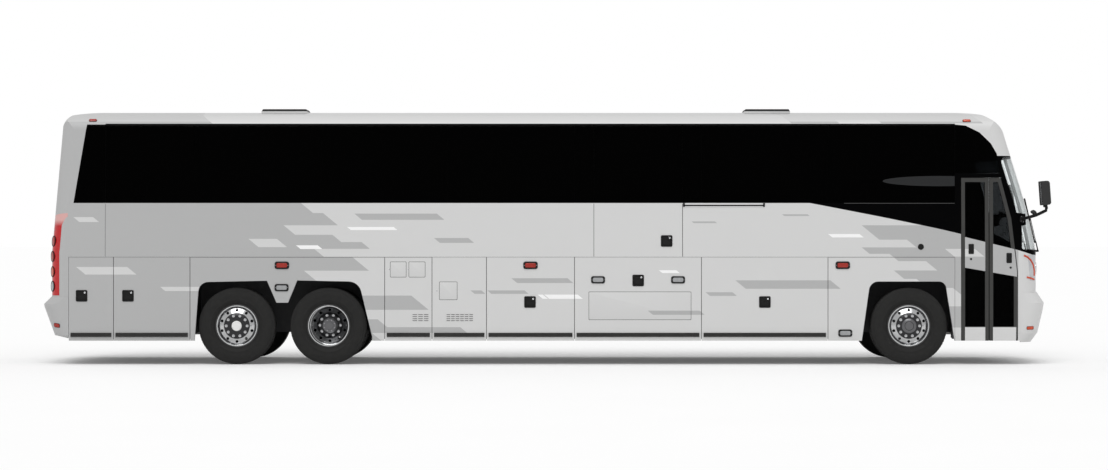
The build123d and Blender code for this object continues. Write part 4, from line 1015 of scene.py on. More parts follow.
class FitMarkers(bpy.types.Operator):
    """Fit the side markers, the clear lamps, the roof markers and the reflectors"""

    bl_idname = "coach.fit_markers"
    bl_label = "Fit the marker lamps"

    def execute(self, context):
        width = context.scene.coach_fittings.marker
        trim, chrome = named("black_trim", "chrome")
        lenses = {
            "red": glowless_lens("red_lens", (0.42, 0.020, 0.008)),
            "clear": glowless_lens("clear_lens", (0.42, 0.43, 0.44), 0.10, 18.0),
            "amber": glowless_lens("amber_lens", (0.70, 0.085, 0.030)),
        }
        lamps = {}
        for node, x, z, lens in MARKERS:
            for side in SIDES:
                full, body = body_under(node, side)
                shape = lamps.setdefault((body, lens), bmesh.new())
                long = width * (1.0 if lens == "red" else CLEAR_MARKER)
                merge(shape, marker_shape(long, long * MARKER_RATIO), skin(full, x, z, side), None)
        for (body, lens), shape in lamps.items():
            publish(shape, f"markers_{lens}_{body}", [trim, lenses[lens], chrome], body)
        for name, node, x, z, long, tall, proud, lens in ROOF_AND_BUMPER_LAMPS:
            shape = bmesh.new()
            for side in SIDES:
                lamp = bmesh.new()
                merge(lamp, plate(long, tall, proud * 0.4, tall * 0.35, proud * 0.15))
                glass = plate(long * 0.90, tall * 0.84, proud * 0.7, tall * 0.30, proud * 0.3)
                merge(lamp, glass, at(0, 0, proud * 0.3), 1)
                merge(shape, lamp, skin(node, x, z, side, proud * 0.2), None)
            publish(shape, name, [trim, lenses[lens]], "coach")
        return {"FINISHED"}


FLAPS = (  # node, ends along the body, bottom, top, place of its lock along the body (0 for none), height of the lock
    ("lower_panels", -2.125, -1.912, 1.199, 1.404, -2.137, 1.302),
    ("lower_panels", -1.871, -1.652, 1.199, 1.404, -1.884, 1.302),
    ("service_door", -1.453, -1.214, 0.890, 1.130, -1.488, 1.007),
    ("middle_bay_door", 0.595, 1.990, 0.616, 0.993, 0.0, 0.0),
)
VENT_ROWS_Z = (0.603, 0.630, 0.659, 0.686)
LOUVRE_SHARE = 0.80  # of the step between columns
VENTS = (  # node, ends along the body, columns
    ("lower_panels", -1.830, -1.597, 3),
    ("service_door", -1.362, -0.990, 6),
)
PORT = ("wall_right", 5.140, 1.612, 0.041)
PORT_RIM = ((1.0, 0.0), (1.0, 0.004), (0.9, 0.0065), (0.8, 0.0065), (0.74, 0.0025), (0.0, 0.0020))
FLAP_GAP = 0.010


class FitFlaps(bpy.types.Operator):
    """Fit the filler flaps, the access panel, the vents and the round port"""

    bl_idname = "coach.fit_flaps"
    bl_label = "Fit the flaps and vents"

    def execute(self, context):
        finishes = named("black_trim", "body_paint", "chrome")
        shapes = {}
        for side in SIDES:
            for node, back, front, low, high, lock_x, lock_z in FLAPS:
                full, body = body_under(node, side)
                shape = shapes.setdefault(body, bmesh.new())
                place = skin(full, (back + front) / 2, (low + high) / 2, side)
                seam = plate(front - back + FLAP_GAP, high - low + FLAP_GAP, 0.0010, 0.012, 0.0003)
                merge(shape, seam, place)
                merge(shape, plate(front - back, high - low, 0.0022, 0.010, 0.0008), place, 1)
                if lock_z:
                    lock_face(shape, skin(full, lock_x, lock_z, side), 0.010, 2)
            for node, back, front, columns in VENTS:
                full, body = body_under(node, side)
                shape = shapes.setdefault(body, bmesh.new())
                pitch = (front - back) / columns
                for row_z in VENT_ROWS_Z:
                    for column in range(columns):
                        x = back + (column + 0.5) * pitch
                        self.louvre(shape, skin(full, x, row_z, side), pitch * LOUVRE_SHARE)
        shape = shapes.setdefault("coach", bmesh.new())
        node, x, z, radius = PORT
        merge(shape, turned(widened(PORT_RIM, radius), 40), skin(node, x, z, RIGHT))
        for body, shape in shapes.items():
            publish(shape, f"flaps_{body}", finishes, body)
        return {"FINISHED"}

    def louvre(self, shape, place, long):
        """A slot whose shade is painted as a dark plate, with a painted hood over its upper half."""
        merge(shape, plate(long, 0.0125, 0.0012, 0.004, 0.0003), place)
        hood = plate(long, 0.0060, 0.0055, 0.002, 0.0015)
        merge(shape, hood, place @ at(0, 0.0040, 0.0004), 1)


TRACK = (1.882, 3.005, 2.185, 0.054)  # ends along the body, height of its middle, depth
STOP = 0.026  # length of the stop at either end of the track
HANDLES = (  # leaf, place along the body, height of its middle, lock's place, lock's height
    ("rear", 5.8295, 1.5825, 5.827, 1.445),
    ("front", 6.3490, 1.4585, 6.370, 1.327),
)
HANDLE_SIZE = (0.074, 0.138)


class FitDoorGear(bpy.types.Operator):
    """Fit the lift door's track, and the grips and locks of the entry door's leaves"""

    bl_idname = "coach.fit_door_gear"
    bl_label = "Fit the door gear"

    def execute(self, context):
        trim, chrome, paint = named("black_trim", "chrome", "body_paint")
        back, front, z, depth = TRACK
        shape = bmesh.new()
        rail = skin("wall_right", (back + front) / 2, z, RIGHT)
        merge(shape, plate(front - back, depth, 0.006, 0.004, 0.0015), rail)
        groove = plate(front - back - 0.010, depth * 0.34, 0.0016, 0.003, 0.0004)
        merge(shape, groove, rail @ at(0, -depth * 0.12, 0.006), 1)
        for way in (-1, 1):
            stop = at(way * (front - back - STOP) / 2, 0, 0.006)
            merge(shape, plate(STOP, depth * 0.94, 0.004, 0.003, 0.001), rail @ stop, 1)
        publish(shape, "lift_door_track", [paint, trim], "coach")
        width, height = HANDLE_SIZE
        for leaf, x, z, lock_x, lock_z in HANDLES:
            shape = bmesh.new()
            node = f"entry_leaf_{leaf}"
            place = skin(node, x, z, RIGHT)
            merge(shape, plate(width, height, 0.005, 0.012, 0.0015), place)
            pull = plate(width * 0.52, height * 0.86, 0.007, 0.008, 0.002)
            merge(shape, pull, place @ at(width * 0.10, 0, 0.0045))
            lock_face(shape, skin(node, lock_x, lock_z, RIGHT), 0.015, 0)
            publish(shape, f"grip_{leaf}", [trim, chrome], node)
        return {"FINISHED"}


# ---- mirrors, wipers and lamps at the ends ----
def rim_of(part, ring):
    """The edges that join a ring of points."""
    return [edge for edge in part.edges if all(vert in ring for vert in edge.verts)]


def tube(points, radius, sides=14):
    """A round bar along a line of points, closed at both ends."""
    part = bmesh.new()
    points = [Vector(point) for point in points]
    places = []
    for number, point in enumerate(points):
        ahead = points[min(number + 1, len(points) - 1)] - points[max(number - 1, 0)]
        places.append(at(*point) @ ahead.to_track_quat("Z", "Y").to_matrix().to_4x4())
    ring = bmesh.ops.create_circle(part, cap_ends=True, segments=sides, radius=radius)["verts"]
    bmesh.ops.transform(part, matrix=places[0], verts=ring)
    for last, place in zip(places, places[1:]):
        grown = bmesh.ops.extrude_edge_only(part, edges=rim_of(part, ring))
        ring = new_verts(grown)
        bmesh.ops.transform(part, matrix=place @ last.inverted(), verts=ring)
    bmesh.ops.edgeloop_fill(part, edges=rim_of(part, ring))
    return part


def outermost(nodes, x, z, side, sink=0.0):
    """The place on whichever of some nodes lies furthest out at one side."""
    best = None
    for node in nodes:
        try:
            place = skin(node, x, z, side, sink)
        except RuntimeError:
            continue
        if best is None or place.translation.y * side > best.translation.y * side:
            best = place
    if best is None:
        raise RuntimeError(f"nothing of {nodes} at {x:.3f}, {z:.3f}")
    return best


MIRROR_FOOT = (6.530, 1.2562, 1.990)
MIRROR_FOOT_WAY = (0.488, 0.861, 0.142)
MIRROR_ARM = (
    (6.5383, 1.2706, 1.992),
    (6.5760, 1.3470, 2.008),
    (6.6130, 1.4170, 2.020),
    (6.6900, 1.4900, 2.046),
    (6.7700, 1.5500, 2.088),
    (6.8080, 1.5700, 2.108),
    (6.8120, 1.5800, 2.138),
    (6.8020, 1.5880, 2.195),
)
MIRROR_HEAD = (6.790, 1.590, 2.345)
MIRROR_HEAD_SIZE = (0.128, 0.238, 0.328)
MIRROR_BACK_X, MIRROR_BACK_EDGE = 0.03, 0.1  # the edges round the glass lie behind this, and are longer
MIRROR_LEAN = -4  # degrees, its foot forward
ROUND_MIRROR = (6.655, 1.457, 2.070)
ROUND_SHELL = (  # radius, height over its rim
    (0.0465, 0.010),
    (0.048, 0.006),
    (0.048, 0.0),
    (0.044, -0.018),
    (0.033, -0.034),
    (0.016, -0.042),
    (0.0, -0.044),
)
ROUND_GLASS = ((0.0460, 0.0095), (0.030, 0.0120), (0.0, 0.0130))


def mirror_head():
    """A mirror's housing, round at the front, with its glass set back in a lip at the rear."""
    head = bmesh.new()
    bmesh.ops.create_cube(head, size=1.0)
    bmesh.ops.scale(head, verts=head.verts, vec=MIRROR_HEAD_SIZE)
    front = [edge for edge in head.edges if all(vert.co.x > 0 for vert in edge.verts)]
    bmesh.ops.bevel(head, geom=front, offset=0.046, segments=6, profile=0.5, affect="EDGES", material=-1)
    back = [edge for edge in head.edges if max(vert.co.x for vert in edge.verts) < MIRROR_BACK_X]
    uprights = [edge for edge in back if edge.calc_length() > MIRROR_BACK_EDGE]
    bmesh.ops.bevel(head, geom=uprights, offset=0.014, segments=3, profile=0.5, affect="EDGES", material=-1)
    glass = min(head.faces, key=lambda face: face.calc_center_median().x)
    for thickness, depth in ((0.010, 0.0), (0.002, -0.009)):
        bmesh.ops.inset_region(head, faces=[glass], thickness=thickness, depth=depth)
    for face in head.faces:
        face.material_index = 1 if face == glass else 3
    return head


class FitMirrors(bpy.types.Operator):
    """Build the door mirrors: foot, arm, clamp, housing, glass and the round lower mirror"""

    bl_idname = "coach.fit_mirrors"
    bl_label = "Fit the mirrors"

    def execute(self, context):
        trim, steel = named("black_trim", "stud_steel")
        silvered = polished("mirror_glass", (0.72, 0.74, 0.76), 0.03)
        shell = moulded("mirror_shell", (0.034, 0.034, 0.034), 0.45)
        shape = bmesh.new()
        for side in SIDES:
            foot = Vector((MIRROR_FOOT[0], side * MIRROR_FOOT[1], MIRROR_FOOT[2]))
            way = Vector((MIRROR_FOOT_WAY[0], side * MIRROR_FOOT_WAY[1], MIRROR_FOOT_WAY[2]))
            base = facing(foot, way, (-side * way.y, way.x, 0))
            merge(shape, plate(0.070, 0.090, 0.012, 0.018, 0.003), base)
            merge(shape, round_bar(0.027, 0.021, 0.020, 24, 0.004), base)
            for along, up in itertools.product((-0.022, 0.022), (-0.032, 0.032)):
                merge(shape, round_bar(0.0055, 0.0050, 0.016, 6, 0.0008), base @ at(along, up, 0), 2)
            merge(shape, tube([(x, side * y, z) for x, y, z in MIRROR_ARM], 0.0215))
            x, y, z = MIRROR_HEAD
            under = z - MIRROR_HEAD_SIZE[2] / 2 - 0.030
            merge(shape, round_bar(0.022, 0.027, 0.034, 24, 0.003), at(x, side * y, under))
            merge(shape, mirror_head(), at(x, side * y, z) @ tilt(MIRROR_LEAN, "Y"), None)
            x, y, z = MIRROR_ARM[2]
            merge(shape, round_bar(0.023, 0.023, 0.034, 20, 0.004), at(x, side * y, z - 0.017))
            x, y, z = ROUND_MIRROR
            downward = facing((x, side * y, z), (-0.65, side * 0.1, -0.76), (1, 0, 0))
            merge(shape, turned(ROUND_SHELL, 36), downward, 3)
            merge(shape, turned(ROUND_GLASS, 36), downward, 1)
        publish(shape, "door_mirrors", [trim, silvered, steel, shell], "coach", ["mirrors"])
        return {"FINISHED"}


WIPER_FOOT = (6.8282, 0.520, 1.552)
WIPER_OFF = 0.042
WIPER_RAKE = 13.1
WIPER_BARS = (  # width, length, depth, how far up its middle is, how far off the arm's line
    (0.030, 0.150, 0.013, 0.066, -0.005),
    (0.015, 0.330, 0.008, 0.300, -0.002),
    (0.022, 0.050, 0.012, 0.460, -0.010),
    (0.012, 0.640, 0.009, 0.438, -0.016),
    (0.005, 0.636, 0.012, 0.438, -0.027),
)
WIPER_CLAWS = (0.150, 0.290, 0.586, 0.726)


class FitWipers(bpy.types.Operator):
    """Build the wipers: pivot, sprung arm, blade holder with its claws, and rubber"""

    bl_idname = "coach.fit_wipers"
    bl_label = "Fit the wipers"

    def execute(self, context):
        shape = bmesh.new()
        rake = math.radians(WIPER_RAKE)
        x, y, z = WIPER_FOOT
        for side in SIDES:
            pivot = facing((x, side * y, z), (1, 0, 0), (0, 1, 0))
            merge(shape, round_bar(0.0155, 0.0135, WIPER_OFF + 0.012, 24, 0.004), pivot)
            arm = facing((x + WIPER_OFF, side * y, z), (math.cos(rake), 0, math.sin(rake)), (0, 1, 0))
            for width, long, deep, up, off in WIPER_BARS:
                merge(shape, plate(width, long, deep, width * 0.3, deep * 0.2), arm @ at(0, up, off))
            for up in WIPER_CLAWS:
                merge(shape, plate(0.018, 0.012, 0.013, 0.003, 0.002), arm @ at(0, up, -0.019))
        publish(shape, "wiper_arms", named("black_trim"), "coach", ["wipers"])
        return {"FINISHED"}


PIPES = (  # amber light pipes on each head lamp, seen from the side: place along the body, height
    ((6.552, 1.494), (6.600, 1.474), (6.648, 1.434), (6.686, 1.378), (6.706, 1.300), (6.708, 1.215)),
    ((6.594, 1.196), (6.650, 1.183), (6.704, 1.166)),
)
HEAD_LAMP_NODES = ("head_lamps", "nose_cap", "bumpers")
HEAD_UNITS = ((0.850, 1.300, 0.070), (1.030, 1.325, 0.074))  # out from the middle, height, radius
TAIL_UNITS = (1.165, 0.076, ((1.070, "clear_lens"), (1.270, "amber_lens"), (1.480, "red_lens"), (1.690, "red_lens")))
ENGINE_LATCH = (0.66, 1.050, 0.11)  # out from the middle, height, size
PIPE_R = 0.0135
UNIT_BEZEL = ((1.0, -0.006), (1.0, 0.004), (0.96, 0.007), (0.90, 0.007), (0.86, 0.003), (0.86, -0.006))
UNIT_DOME = ((0.87, 0.001), (0.80, 0.005), (0.60, 0.0085), (0.35, 0.0105), (0.0, 0.0115))


class FitLampUnits(bpy.types.Operator):
    """Fit the round lamp units and the amber light pipes at the nose and the tail"""

    bl_idname = "coach.fit_lamp_units"
    bl_label = "Fit the lamp units"

    def execute(self, context):
        trim, chrome = named("black_trim", "chrome")
        shape = bmesh.new()
        for side in SIDES:
            for route in PIPES:
                line = [outermost(HEAD_LAMP_NODES, x, z, side).translation for x, z in route]
                merge(shape, tube(line, PIPE_R, 10))
        publish(shape, "lamp_pipes", named("amber_lens"), "coach")
        bulb_glass = glowless_lens("projector_glass", (0.30, 0.32, 0.34), 0.05, 6.0, 0.1)
        shape = bmesh.new()
        for side in SIDES:
            for y, z, radius in HEAD_UNITS:
                self.unit(shape, radius, end_skin("head_lamps", side * y, z, 1), 1)
        publish(shape, "head_lamp_units", [chrome, bulb_glass], "coach")
        lenses = ("clear_lens", "amber_lens", "red_lens")
        y, radius, units = TAIL_UNITS
        shape = bmesh.new()
        for side in SIDES:
            for z, lens in units:
                self.unit(shape, radius, end_skin("tail_lamps", side * y, z, -1), lenses.index(lens) + 1)
        publish(shape, "tail_lamp_units", [trim, *named(*lenses)], "coach")
        shape = bmesh.new()
        for side in SIDES:
            y, z, size = ENGINE_LATCH
            merge(shape, latch_shape(size), end_skin("engine_door", side * y, z, -1), None)
        publish(shape, "latch_engine_door", [trim, chrome], "engine_door")
        return {"FINISHED"}

    def unit(self, shape, radius, place, lens):
        """A round lamp unit: a bezel, and a dome with the number of its finish."""
        merge(shape, turned(widened(UNIT_BEZEL, radius), 40, True), place)
        merge(shape, turned(widened(UNIT_DOME, radius), 40), place, lens)




# ---- seats ----
ROWS = 13
FIRST_ROW_X = -5.350
ROW_PITCH = 0.845
DECK_Z = 1.400
BENCH_Y = (0.230, 1.150)  # inner and outer end of a bench
DRIVER = (5.480, 0.440, 0.980)  # place along the body, inner and outer end
CUSHION = (0.398, 0.445, 0.098)  # length, width, thickness
CUSHION_AT = (0.268, 0.392)  # its middle, forward of the seat's place and over the deck
BACKREST = (0.082, 0.440, 0.672)  # thickness, width, height
BACKREST_AT = (-0.036, 0.806)
RECLINE = -10.6  # degrees
GRID = 11  # cuts along each side of a pad
PAD_WIDTH, PAD_GAP = 0.448, 0.012
THIRD = 1 / 3
DRAWN_IN = 0.020  # between the corners, as a share of half the block
ROUND_OFF = (0.035, 0.025)  # its faces' edges, across and up
THINNED = 0.20  # towards its edges
CHANNEL = 0.16  # depth of a sewn channel, as a share of half the thickness
PAD_CREASE = 75


def pad_block(size, thin, seamed):
    """A closed block cut for sewing: pulled in between its corners, with its channels drawn down.

    thin is the axis of its thickness, and seamed tells whether a place across the block lies on a channel.
    """
    part = bmesh.new()
    bmesh.ops.create_cube(part, size=2.0)
    bmesh.ops.subdivide_edges(part, edges=part.edges[:], cuts=GRID, use_grid_fill=True)
    wide, tall = (axis for axis in range(3) if axis != thin)
    pinned = []
    for vert in part.verts:
        across, up, out = vert.co[wide], vert.co[tall], vert.co[thin]
        ends = sum(abs(abs(value) - 1) < 1e-4 for value in vert.co)
        channel = out > 0.999 and seamed(across, up)
        if ends >= 2 or channel:
            pinned.append(vert.index)
        reach = max(abs(across), abs(up))
        round_off = reach**6 * out * out
        vert.co[wide] = across * (1 - DRAWN_IN * (1 - up * up)) * (1 - ROUND_OFF[0] * round_off)
        vert.co[tall] = up * (1 - DRAWN_IN * (1 - across * across)) * (1 - ROUND_OFF[1] * round_off)
        vert.co[thin] = out * (1 - THINNED * reach**8) - (CHANNEL if channel else 0.0)
    bmesh.ops.scale(part, verts=part.verts, vec=tuple(value / 2 for value in size))
    return part, pinned


def puffed(part, pinned, name):
    """Fill a closed block as cloth held along its seams, and give the mesh it settles into."""
    scene = bpy.context.scene
    choices = scene.coach_cabin
    mesh = mesh_of(part, name)
    pad = linked(name, mesh)
    pad.vertex_groups.new(name="seams").add(pinned, 1.0, "REPLACE")
    cloth = pad.modifiers.new("cloth", "CLOTH")
    cloth.settings.vertex_group_mass = "seams"
    cloth.settings.use_pressure = True
    cloth.settings.uniform_pressure_force = choices.pressure
    cloth.settings.effector_weights.gravity = 0
    cloth.settings.quality = 8
    cloth.point_cache.frame_start, cloth.point_cache.frame_end = 1, choices.settling
    for step in range(1, choices.settling + 1):
        scene.frame_set(step)
    settled = pad.evaluated_get(bpy.context.evaluated_depsgraph_get()).data
    places = [vert.co.copy() for vert in settled.vertices]
    bpy.data.objects.remove(pad)
    scene.frame_set(1)
    for vert, place in zip(mesh.vertices, places):
        move = place - vert.co
        if move.length > choices.swell:
            move *= choices.swell / move.length
        vert.co += move
    return mesh


def copied(shape, mesh, place):
    """Add a copy of a mesh to a shape at a place."""
    carrier = mesh.copy()
    carrier.transform(place)
    shape.from_mesh(carrier)
    bpy.data.meshes.remove(carrier)


def cushion_seam(across, up):
    return abs(abs(up) - THIRD) < 0.01 and abs(across) < 0.999


def backrest_seam(across, up):
    return abs(up - 0.5) < 0.01 or (abs(abs(across) - THIRD) < 0.01 and up < 0.5)


def seat_places():
    """Each bench or single seat: place along the body, its inner and outer end, and its number of seats."""
    rows = [FIRST_ROW_X + row * ROW_PITCH for row in range(ROWS)]
    return [(*DRIVER, 1)] + [(x, side * BENCH_Y[0], side * BENCH_Y[1], 2) for x in rows for side in SIDES]


def bench_frame(shape, x, inner, outer):
    """The shell behind the backs, the pan under the cushions, the legs and the armrests of one bench."""
    middle, width = (inner + outer) / 2, abs(outer - inner)
    upright = tilt(90, "Y") @ tilt(90, "Z")
    shell = plate(width - 0.010, 0.690, 0.018, 0.060, 0.006)
    merge(shape, shell, at(x - 0.104, middle, DECK_Z + 0.788) @ tilt(RECLINE, "Y") @ upright)
    for along, up, sizes, places in (  # forward, over the deck, a plate's sizes, its places as shares of the width
        (0.262, 0.328, (0.400, width - 0.014, 0.016, 0.050, 0.005), (0.0,)),
        (0.210, 0.006, (0.210, 0.050, 0.318, 0.012, 0.004), (-0.30, 0.30)),
        (0.210, 0.000, (0.240, width * 0.72, 0.010, 0.012, 0.003), (0.0,)),
        (0.150, 0.590, (0.300, 0.036, 0.034, 0.016, 0.008), (-0.475, 0.0, 0.475)),
    ):
        for share_of_width in places:
            merge(shape, plate(*sizes), at(x + along, middle + share_of_width * width, DECK_Z + up))


class BuildSeats(bpy.types.Operator):
    """Sew and fill the seats' cushions and backs, and build the shells and legs under them"""

    bl_idname = "coach.build_seats"
    bl_label = "Build the seats"

    def execute(self, context):
        cushion = puffed(*pad_block(CUSHION, 2, cushion_seam), "cushion_pattern")
        backrest = puffed(*pad_block(BACKREST, 0, backrest_seam), "backrest_pattern")
        cushions, backrests, frames = bmesh.new(), bmesh.new(), bmesh.new()
        patterns = (
            (cushions, cushion, CUSHION_AT, Matrix()),
            (backrests, backrest, BACKREST_AT, tilt(RECLINE, "Y")),
        )
        for x, inner, outer, seats in seat_places():
            step = (outer - inner) / seats
            stretch = Matrix.Scale((abs(step) - PAD_GAP) / PAD_WIDTH, 4, (0, 1, 0))
            for number in range(seats):
                y = inner + step * (number + 0.5)
                for pads, pad, (along, up), lean in patterns:
                    copied(pads, pad, at(x + along, y, DECK_Z + up) @ lean @ stretch)
            bench_frame(frames, x, inner, outer)
        for shape, name in ((cushions, "seat_cushions"), (backrests, "seat_backs")):
            piece = publish(shape, name, named("seat_cloth"), "coach", ["seats"], PAD_CREASE)
        publish(frames, "seat_frames", named("cabin_plastic"), "coach", ["seats"])
        for pattern in (cushion, backrest):
            bpy.data.meshes.remove(pattern)
        return {"FINISHED"}


# ---- seals, dash and engine ----
LEAF_EDGES = (("rear", 6.069, -0.008), ("front", 6.081, 0.008))  # leaf, its inner edge, where its skin is read
SEAL_R = 0.0056
SEAL_Z = (0.330, 0.60, 0.90, 1.20, 1.50, 1.80, 2.10, 2.35, 2.5555)
TOP_SEALS_X = {"rear": (5.702, 5.88, 6.0735), "front": (6.0765, 6.16, 6.222)}
TOP_SEAL_Z = 2.5560
SILL_TRIM = (4.090, 5.606, 2.2085)


class FitSeals(bpy.types.Operator):
    """Fit the bulb seals to the entry door's leaves, and the trim along the sill of the front windows"""

    bl_idname = "coach.fit_seals"
    bl_label = "Fit the seals"

    def execute(self, context):
        rubber = moulded("seal_rubber", context.scene.coach_fittings.trim, 0.7)
        for leaf, edge_x, step in LEAF_EDGES:
            node = f"entry_leaf_{leaf}"
            shape = bmesh.new()
            points = [self.inside(node, edge_x + step, z, edge_x, z) for z in SEAL_Z]
            merge(shape, tube(points, SEAL_R, 10))
            nearer = min if leaf == "rear" else max
            points = [self.inside(node, nearer(x, edge_x + step), TOP_SEAL_Z, x, TOP_SEAL_Z) for x in TOP_SEALS_X[leaf]]
            merge(shape, tube(points, SEAL_R * 0.95, 10))
            publish(shape, f"seal_{leaf}", [rubber], node)
        back, front, z = SILL_TRIM
        shape = bmesh.new()
        merge(shape, plate(front - back, 0.007, 0.004, 0.002, 0.001), skin("wall_right", (back + front) / 2, z, RIGHT))
        publish(shape, "sill_trim", [moulded("sill_trim", (0.07, 0.07, 0.07), 0.5)], "coach")
        return {"FINISHED"}

    def inside(self, node, read_x, read_z, x, z):
        """A point just behind the outer skin, as far in as the skin lies where it is read."""
        read = skin(node, read_x, min(read_z, TOP_SEAL_Z - 0.010), RIGHT, 0.012).translation
        return Vector((x, read.y, z))


STEERING_AT = (5.990, 0.710, 1.990)
STEERING_TILT = 35
STEERING_R = 0.216
RIM_R = 0.0205
RIM_SIDES = 14
CLUSTER = ((6.190, 0.710, 1.748), (-0.62, 0, 0.78), (0, -1, 0))
SWITCHES_Y = (0.100, 0.145, 0.190, 0.235, 0.280, 0.325)
DIALS = ((-0.095, 0.0, 0.052), (0.045, 0.0, 0.052), (0.140, 0.030, 0.024), (0.140, -0.030, 0.024))  # across, up, radius
DIAL_RIM = ((1.0, 0.0), (1.0, 0.008), (0.92, 0.010), (0.88, 0.004), (0.0, 0.004))


class DressDash(bpy.types.Operator):
    """Fit the instruments and switches to the dash, and pad the steering wheel"""

    bl_idname = "coach.dress_dash"
    bl_label = "Dress the dash"

    def execute(self, context):
        finishes = named("cabin_plastic", "chrome", "black_trim", "clear_lens")
        shape = bmesh.new()
        wheel = at(*STEERING_AT) @ tilt(-STEERING_TILT, "Y")
        turns = [math.tau * step / RIM_SIDES for step in range(RIM_SIDES)]
        ring = [(STEERING_R + RIM_R * math.cos(turn), 0.014 + RIM_R * math.sin(turn)) for turn in turns]
        merge(shape, turned(ring, 56, True), wheel, 2)
        merge(shape, plate(0.13, 0.17, 0.022, 0.050, 0.010), wheel @ at(0, 0, 0.026))
        cluster = facing(*CLUSTER)
        merge(shape, plate(0.440, 0.190, 0.070, 0.040, 0.012), cluster)
        face = cluster @ at(0, 0, 0.070)
        merge(shape, plate(0.380, 0.130, 0.0015, 0.020, 0.0005), face, 2)
        for across, up, radius in DIALS:
            spot = face @ at(across, up, 0.001)
            merge(shape, turned(widened(DIAL_RIM, radius), 36), spot, 1)
            merge(shape, round_bar(radius * 0.85, radius * 0.85, 0.0012, 36), spot @ at(0, 0, 0.0045), 2)
            needle = plate(radius * 0.06, radius * 0.75, 0.001, 0.0006, 0.0003, 1)
            merge(shape, needle, spot @ tilt(38, "Z") @ at(0, radius * 0.30, 0.0060), 3)
        for y, z in itertools.product(SWITCHES_Y, (1.655, 1.600)):
            spot = end_skin("dash", y, z, -1)
            merge(shape, plate(0.036, 0.044, 0.004, 0.004, 0.001), spot, 2)
            merge(shape, plate(0.026, 0.034, 0.006, 0.003, 0.001), spot @ at(0, 0, 0.003) @ tilt(7, "X"))
        for y, z in itertools.product((-0.300, -0.120), (1.665, 1.640, 1.615)):
            merge(shape, plate(0.150, 0.014, 0.009, 0.004, 0.002), end_skin("dash", y, z, -1), 2)
        publish(shape, "dash_fittings", finishes, "coach")
        return {"FINISHED"}


ENGINE_BACK_X = -6.200
ENGINE_TOP_Z = 1.270
ENGINE_SIDE_Y = 0.360
PORT_Z = 1.180
FILTERS_X = (-5.900, -5.760)
HEADS_X = (-6.080, -5.880, -5.680, -5.480, -5.280, -5.080)
PULLEYS = (  # across, height, radius
    (0.0, 0.640, 0.115),
    (0.170, 0.850, 0.062),
    (-0.190, 0.830, 0.085),
    (0.0, 1.030, 0.090),
    (0.215, 1.080, 0.050),
)
SHEAVE_HUB = ((0.018, 0.0), (0.018, 0.030))
SHEAVE = (
    (1.0, 0.030),
    (1.04, 0.034),
    (0.94, 0.040),
    (0.94, 0.054),
    (1.04, 0.060),
    (1.0, 0.064),
    (0.30, 0.058),
    (0.0, 0.058),
)
FILTER = ((0.050, -0.02), (0.050, 0.150), (0.044, 0.164), (0.018, 0.168), (0.0, 0.168))
PORT_RUN = ((0.0, 0.0), (0.060, 0.0), (0.085, -0.030), (0.090, -0.120))  # a pipe from the head: out, up
MANIFOLD = (0.450, 1.030)  # out from the middle, height


class DressEngine(bpy.types.Operator):
    """Fit head covers, pulleys, pipes and filters to the engine block"""

    bl_idname = "coach.dress_engine"
    bl_label = "Dress the engine"

    def execute(self, context):
        shape = bmesh.new()
        for x in HEADS_X:
            over = at(x, 0, ENGINE_TOP_Z)
            merge(shape, plate(0.172, 0.300, 0.066, 0.030, 0.014), over)
            for along in (-0.050, 0.0, 0.050):
                merge(shape, plate(0.012, 0.240, 0.008, 0.004, 0.002, 2), over @ at(along, 0, 0.065))
            for across in (-0.130, 0.130):
                merge(shape, round_bar(0.010, 0.009, 0.010, 6, 0.001), over @ at(0.070, across, 0.064), 1)
        for y, z, radius in PULLEYS:
            sheave = [*SHEAVE_HUB, *widened(SHEAVE, radius)]
            merge(shape, turned(sheave, 36), facing((ENGINE_BACK_X, y, z), (-1, 0, 0), (0, -1, 0)), 1)
        for side in SIDES:
            for x in HEADS_X:
                bend = [(x, side * (ENGINE_SIDE_Y + out), PORT_Z + up) for out, up in PORT_RUN]
                merge(shape, tube(bend, 0.026, 12))
            out, z = MANIFOLD
            merge(shape, tube([(x, side * out, z) for x in (HEADS_X[0] - 0.05, HEADS_X[-1] + 0.05)], 0.042, 18))
            for x in FILTERS_X:
                can = facing((x, side * ENGINE_SIDE_Y, 0.760), (0, side * 0.5, -0.86), (1, 0, 0))
                merge(shape, turned(FILTER, 28), can, 2)
        publish(shape, "engine_fittings", named("engine_iron", "stud_steel", "black_trim"), "coach")
        return {"FINISHED"}
# ---- stage: floor, light and camera ----
FLOOR_SIZE = 400.0
KEY = ((0.10, 0.62, -1.0), 40)  # the way its light travels, and how soft it is in degrees


def stage_floor():
    """A pale floor that shows white to the camera and still takes the coach's shadow."""
    ground = bmesh.new()
    bmesh.ops.create_grid(ground, x_segments=1, y_segments=1, size=FLOOR_SIZE)
    bmesh.ops.translate(ground, verts=ground.verts, vec=(0, 0, cad_low.z - 0.002))
    mesh = mesh_of(ground, "stage_floor")
    pale = Finish("stage_floor")
    tone = pale.mix(pale.noise(0.5, 2.0), (0.93, 0.93, 0.93), (0.95, 0.95, 0.95))
    glow = pale.times(pale.node("ShaderNodeLightPath").outputs["Is Camera Ray"], 0.10)
    pale.principled(Base_Color=tone, Emission_Color=(1, 1, 1), Emission_Strength=glow)
    mesh.materials.append(pale.principled(Roughness=0.9, Specular_IOR_Level=0.0))
    linked("stage_floor", mesh)


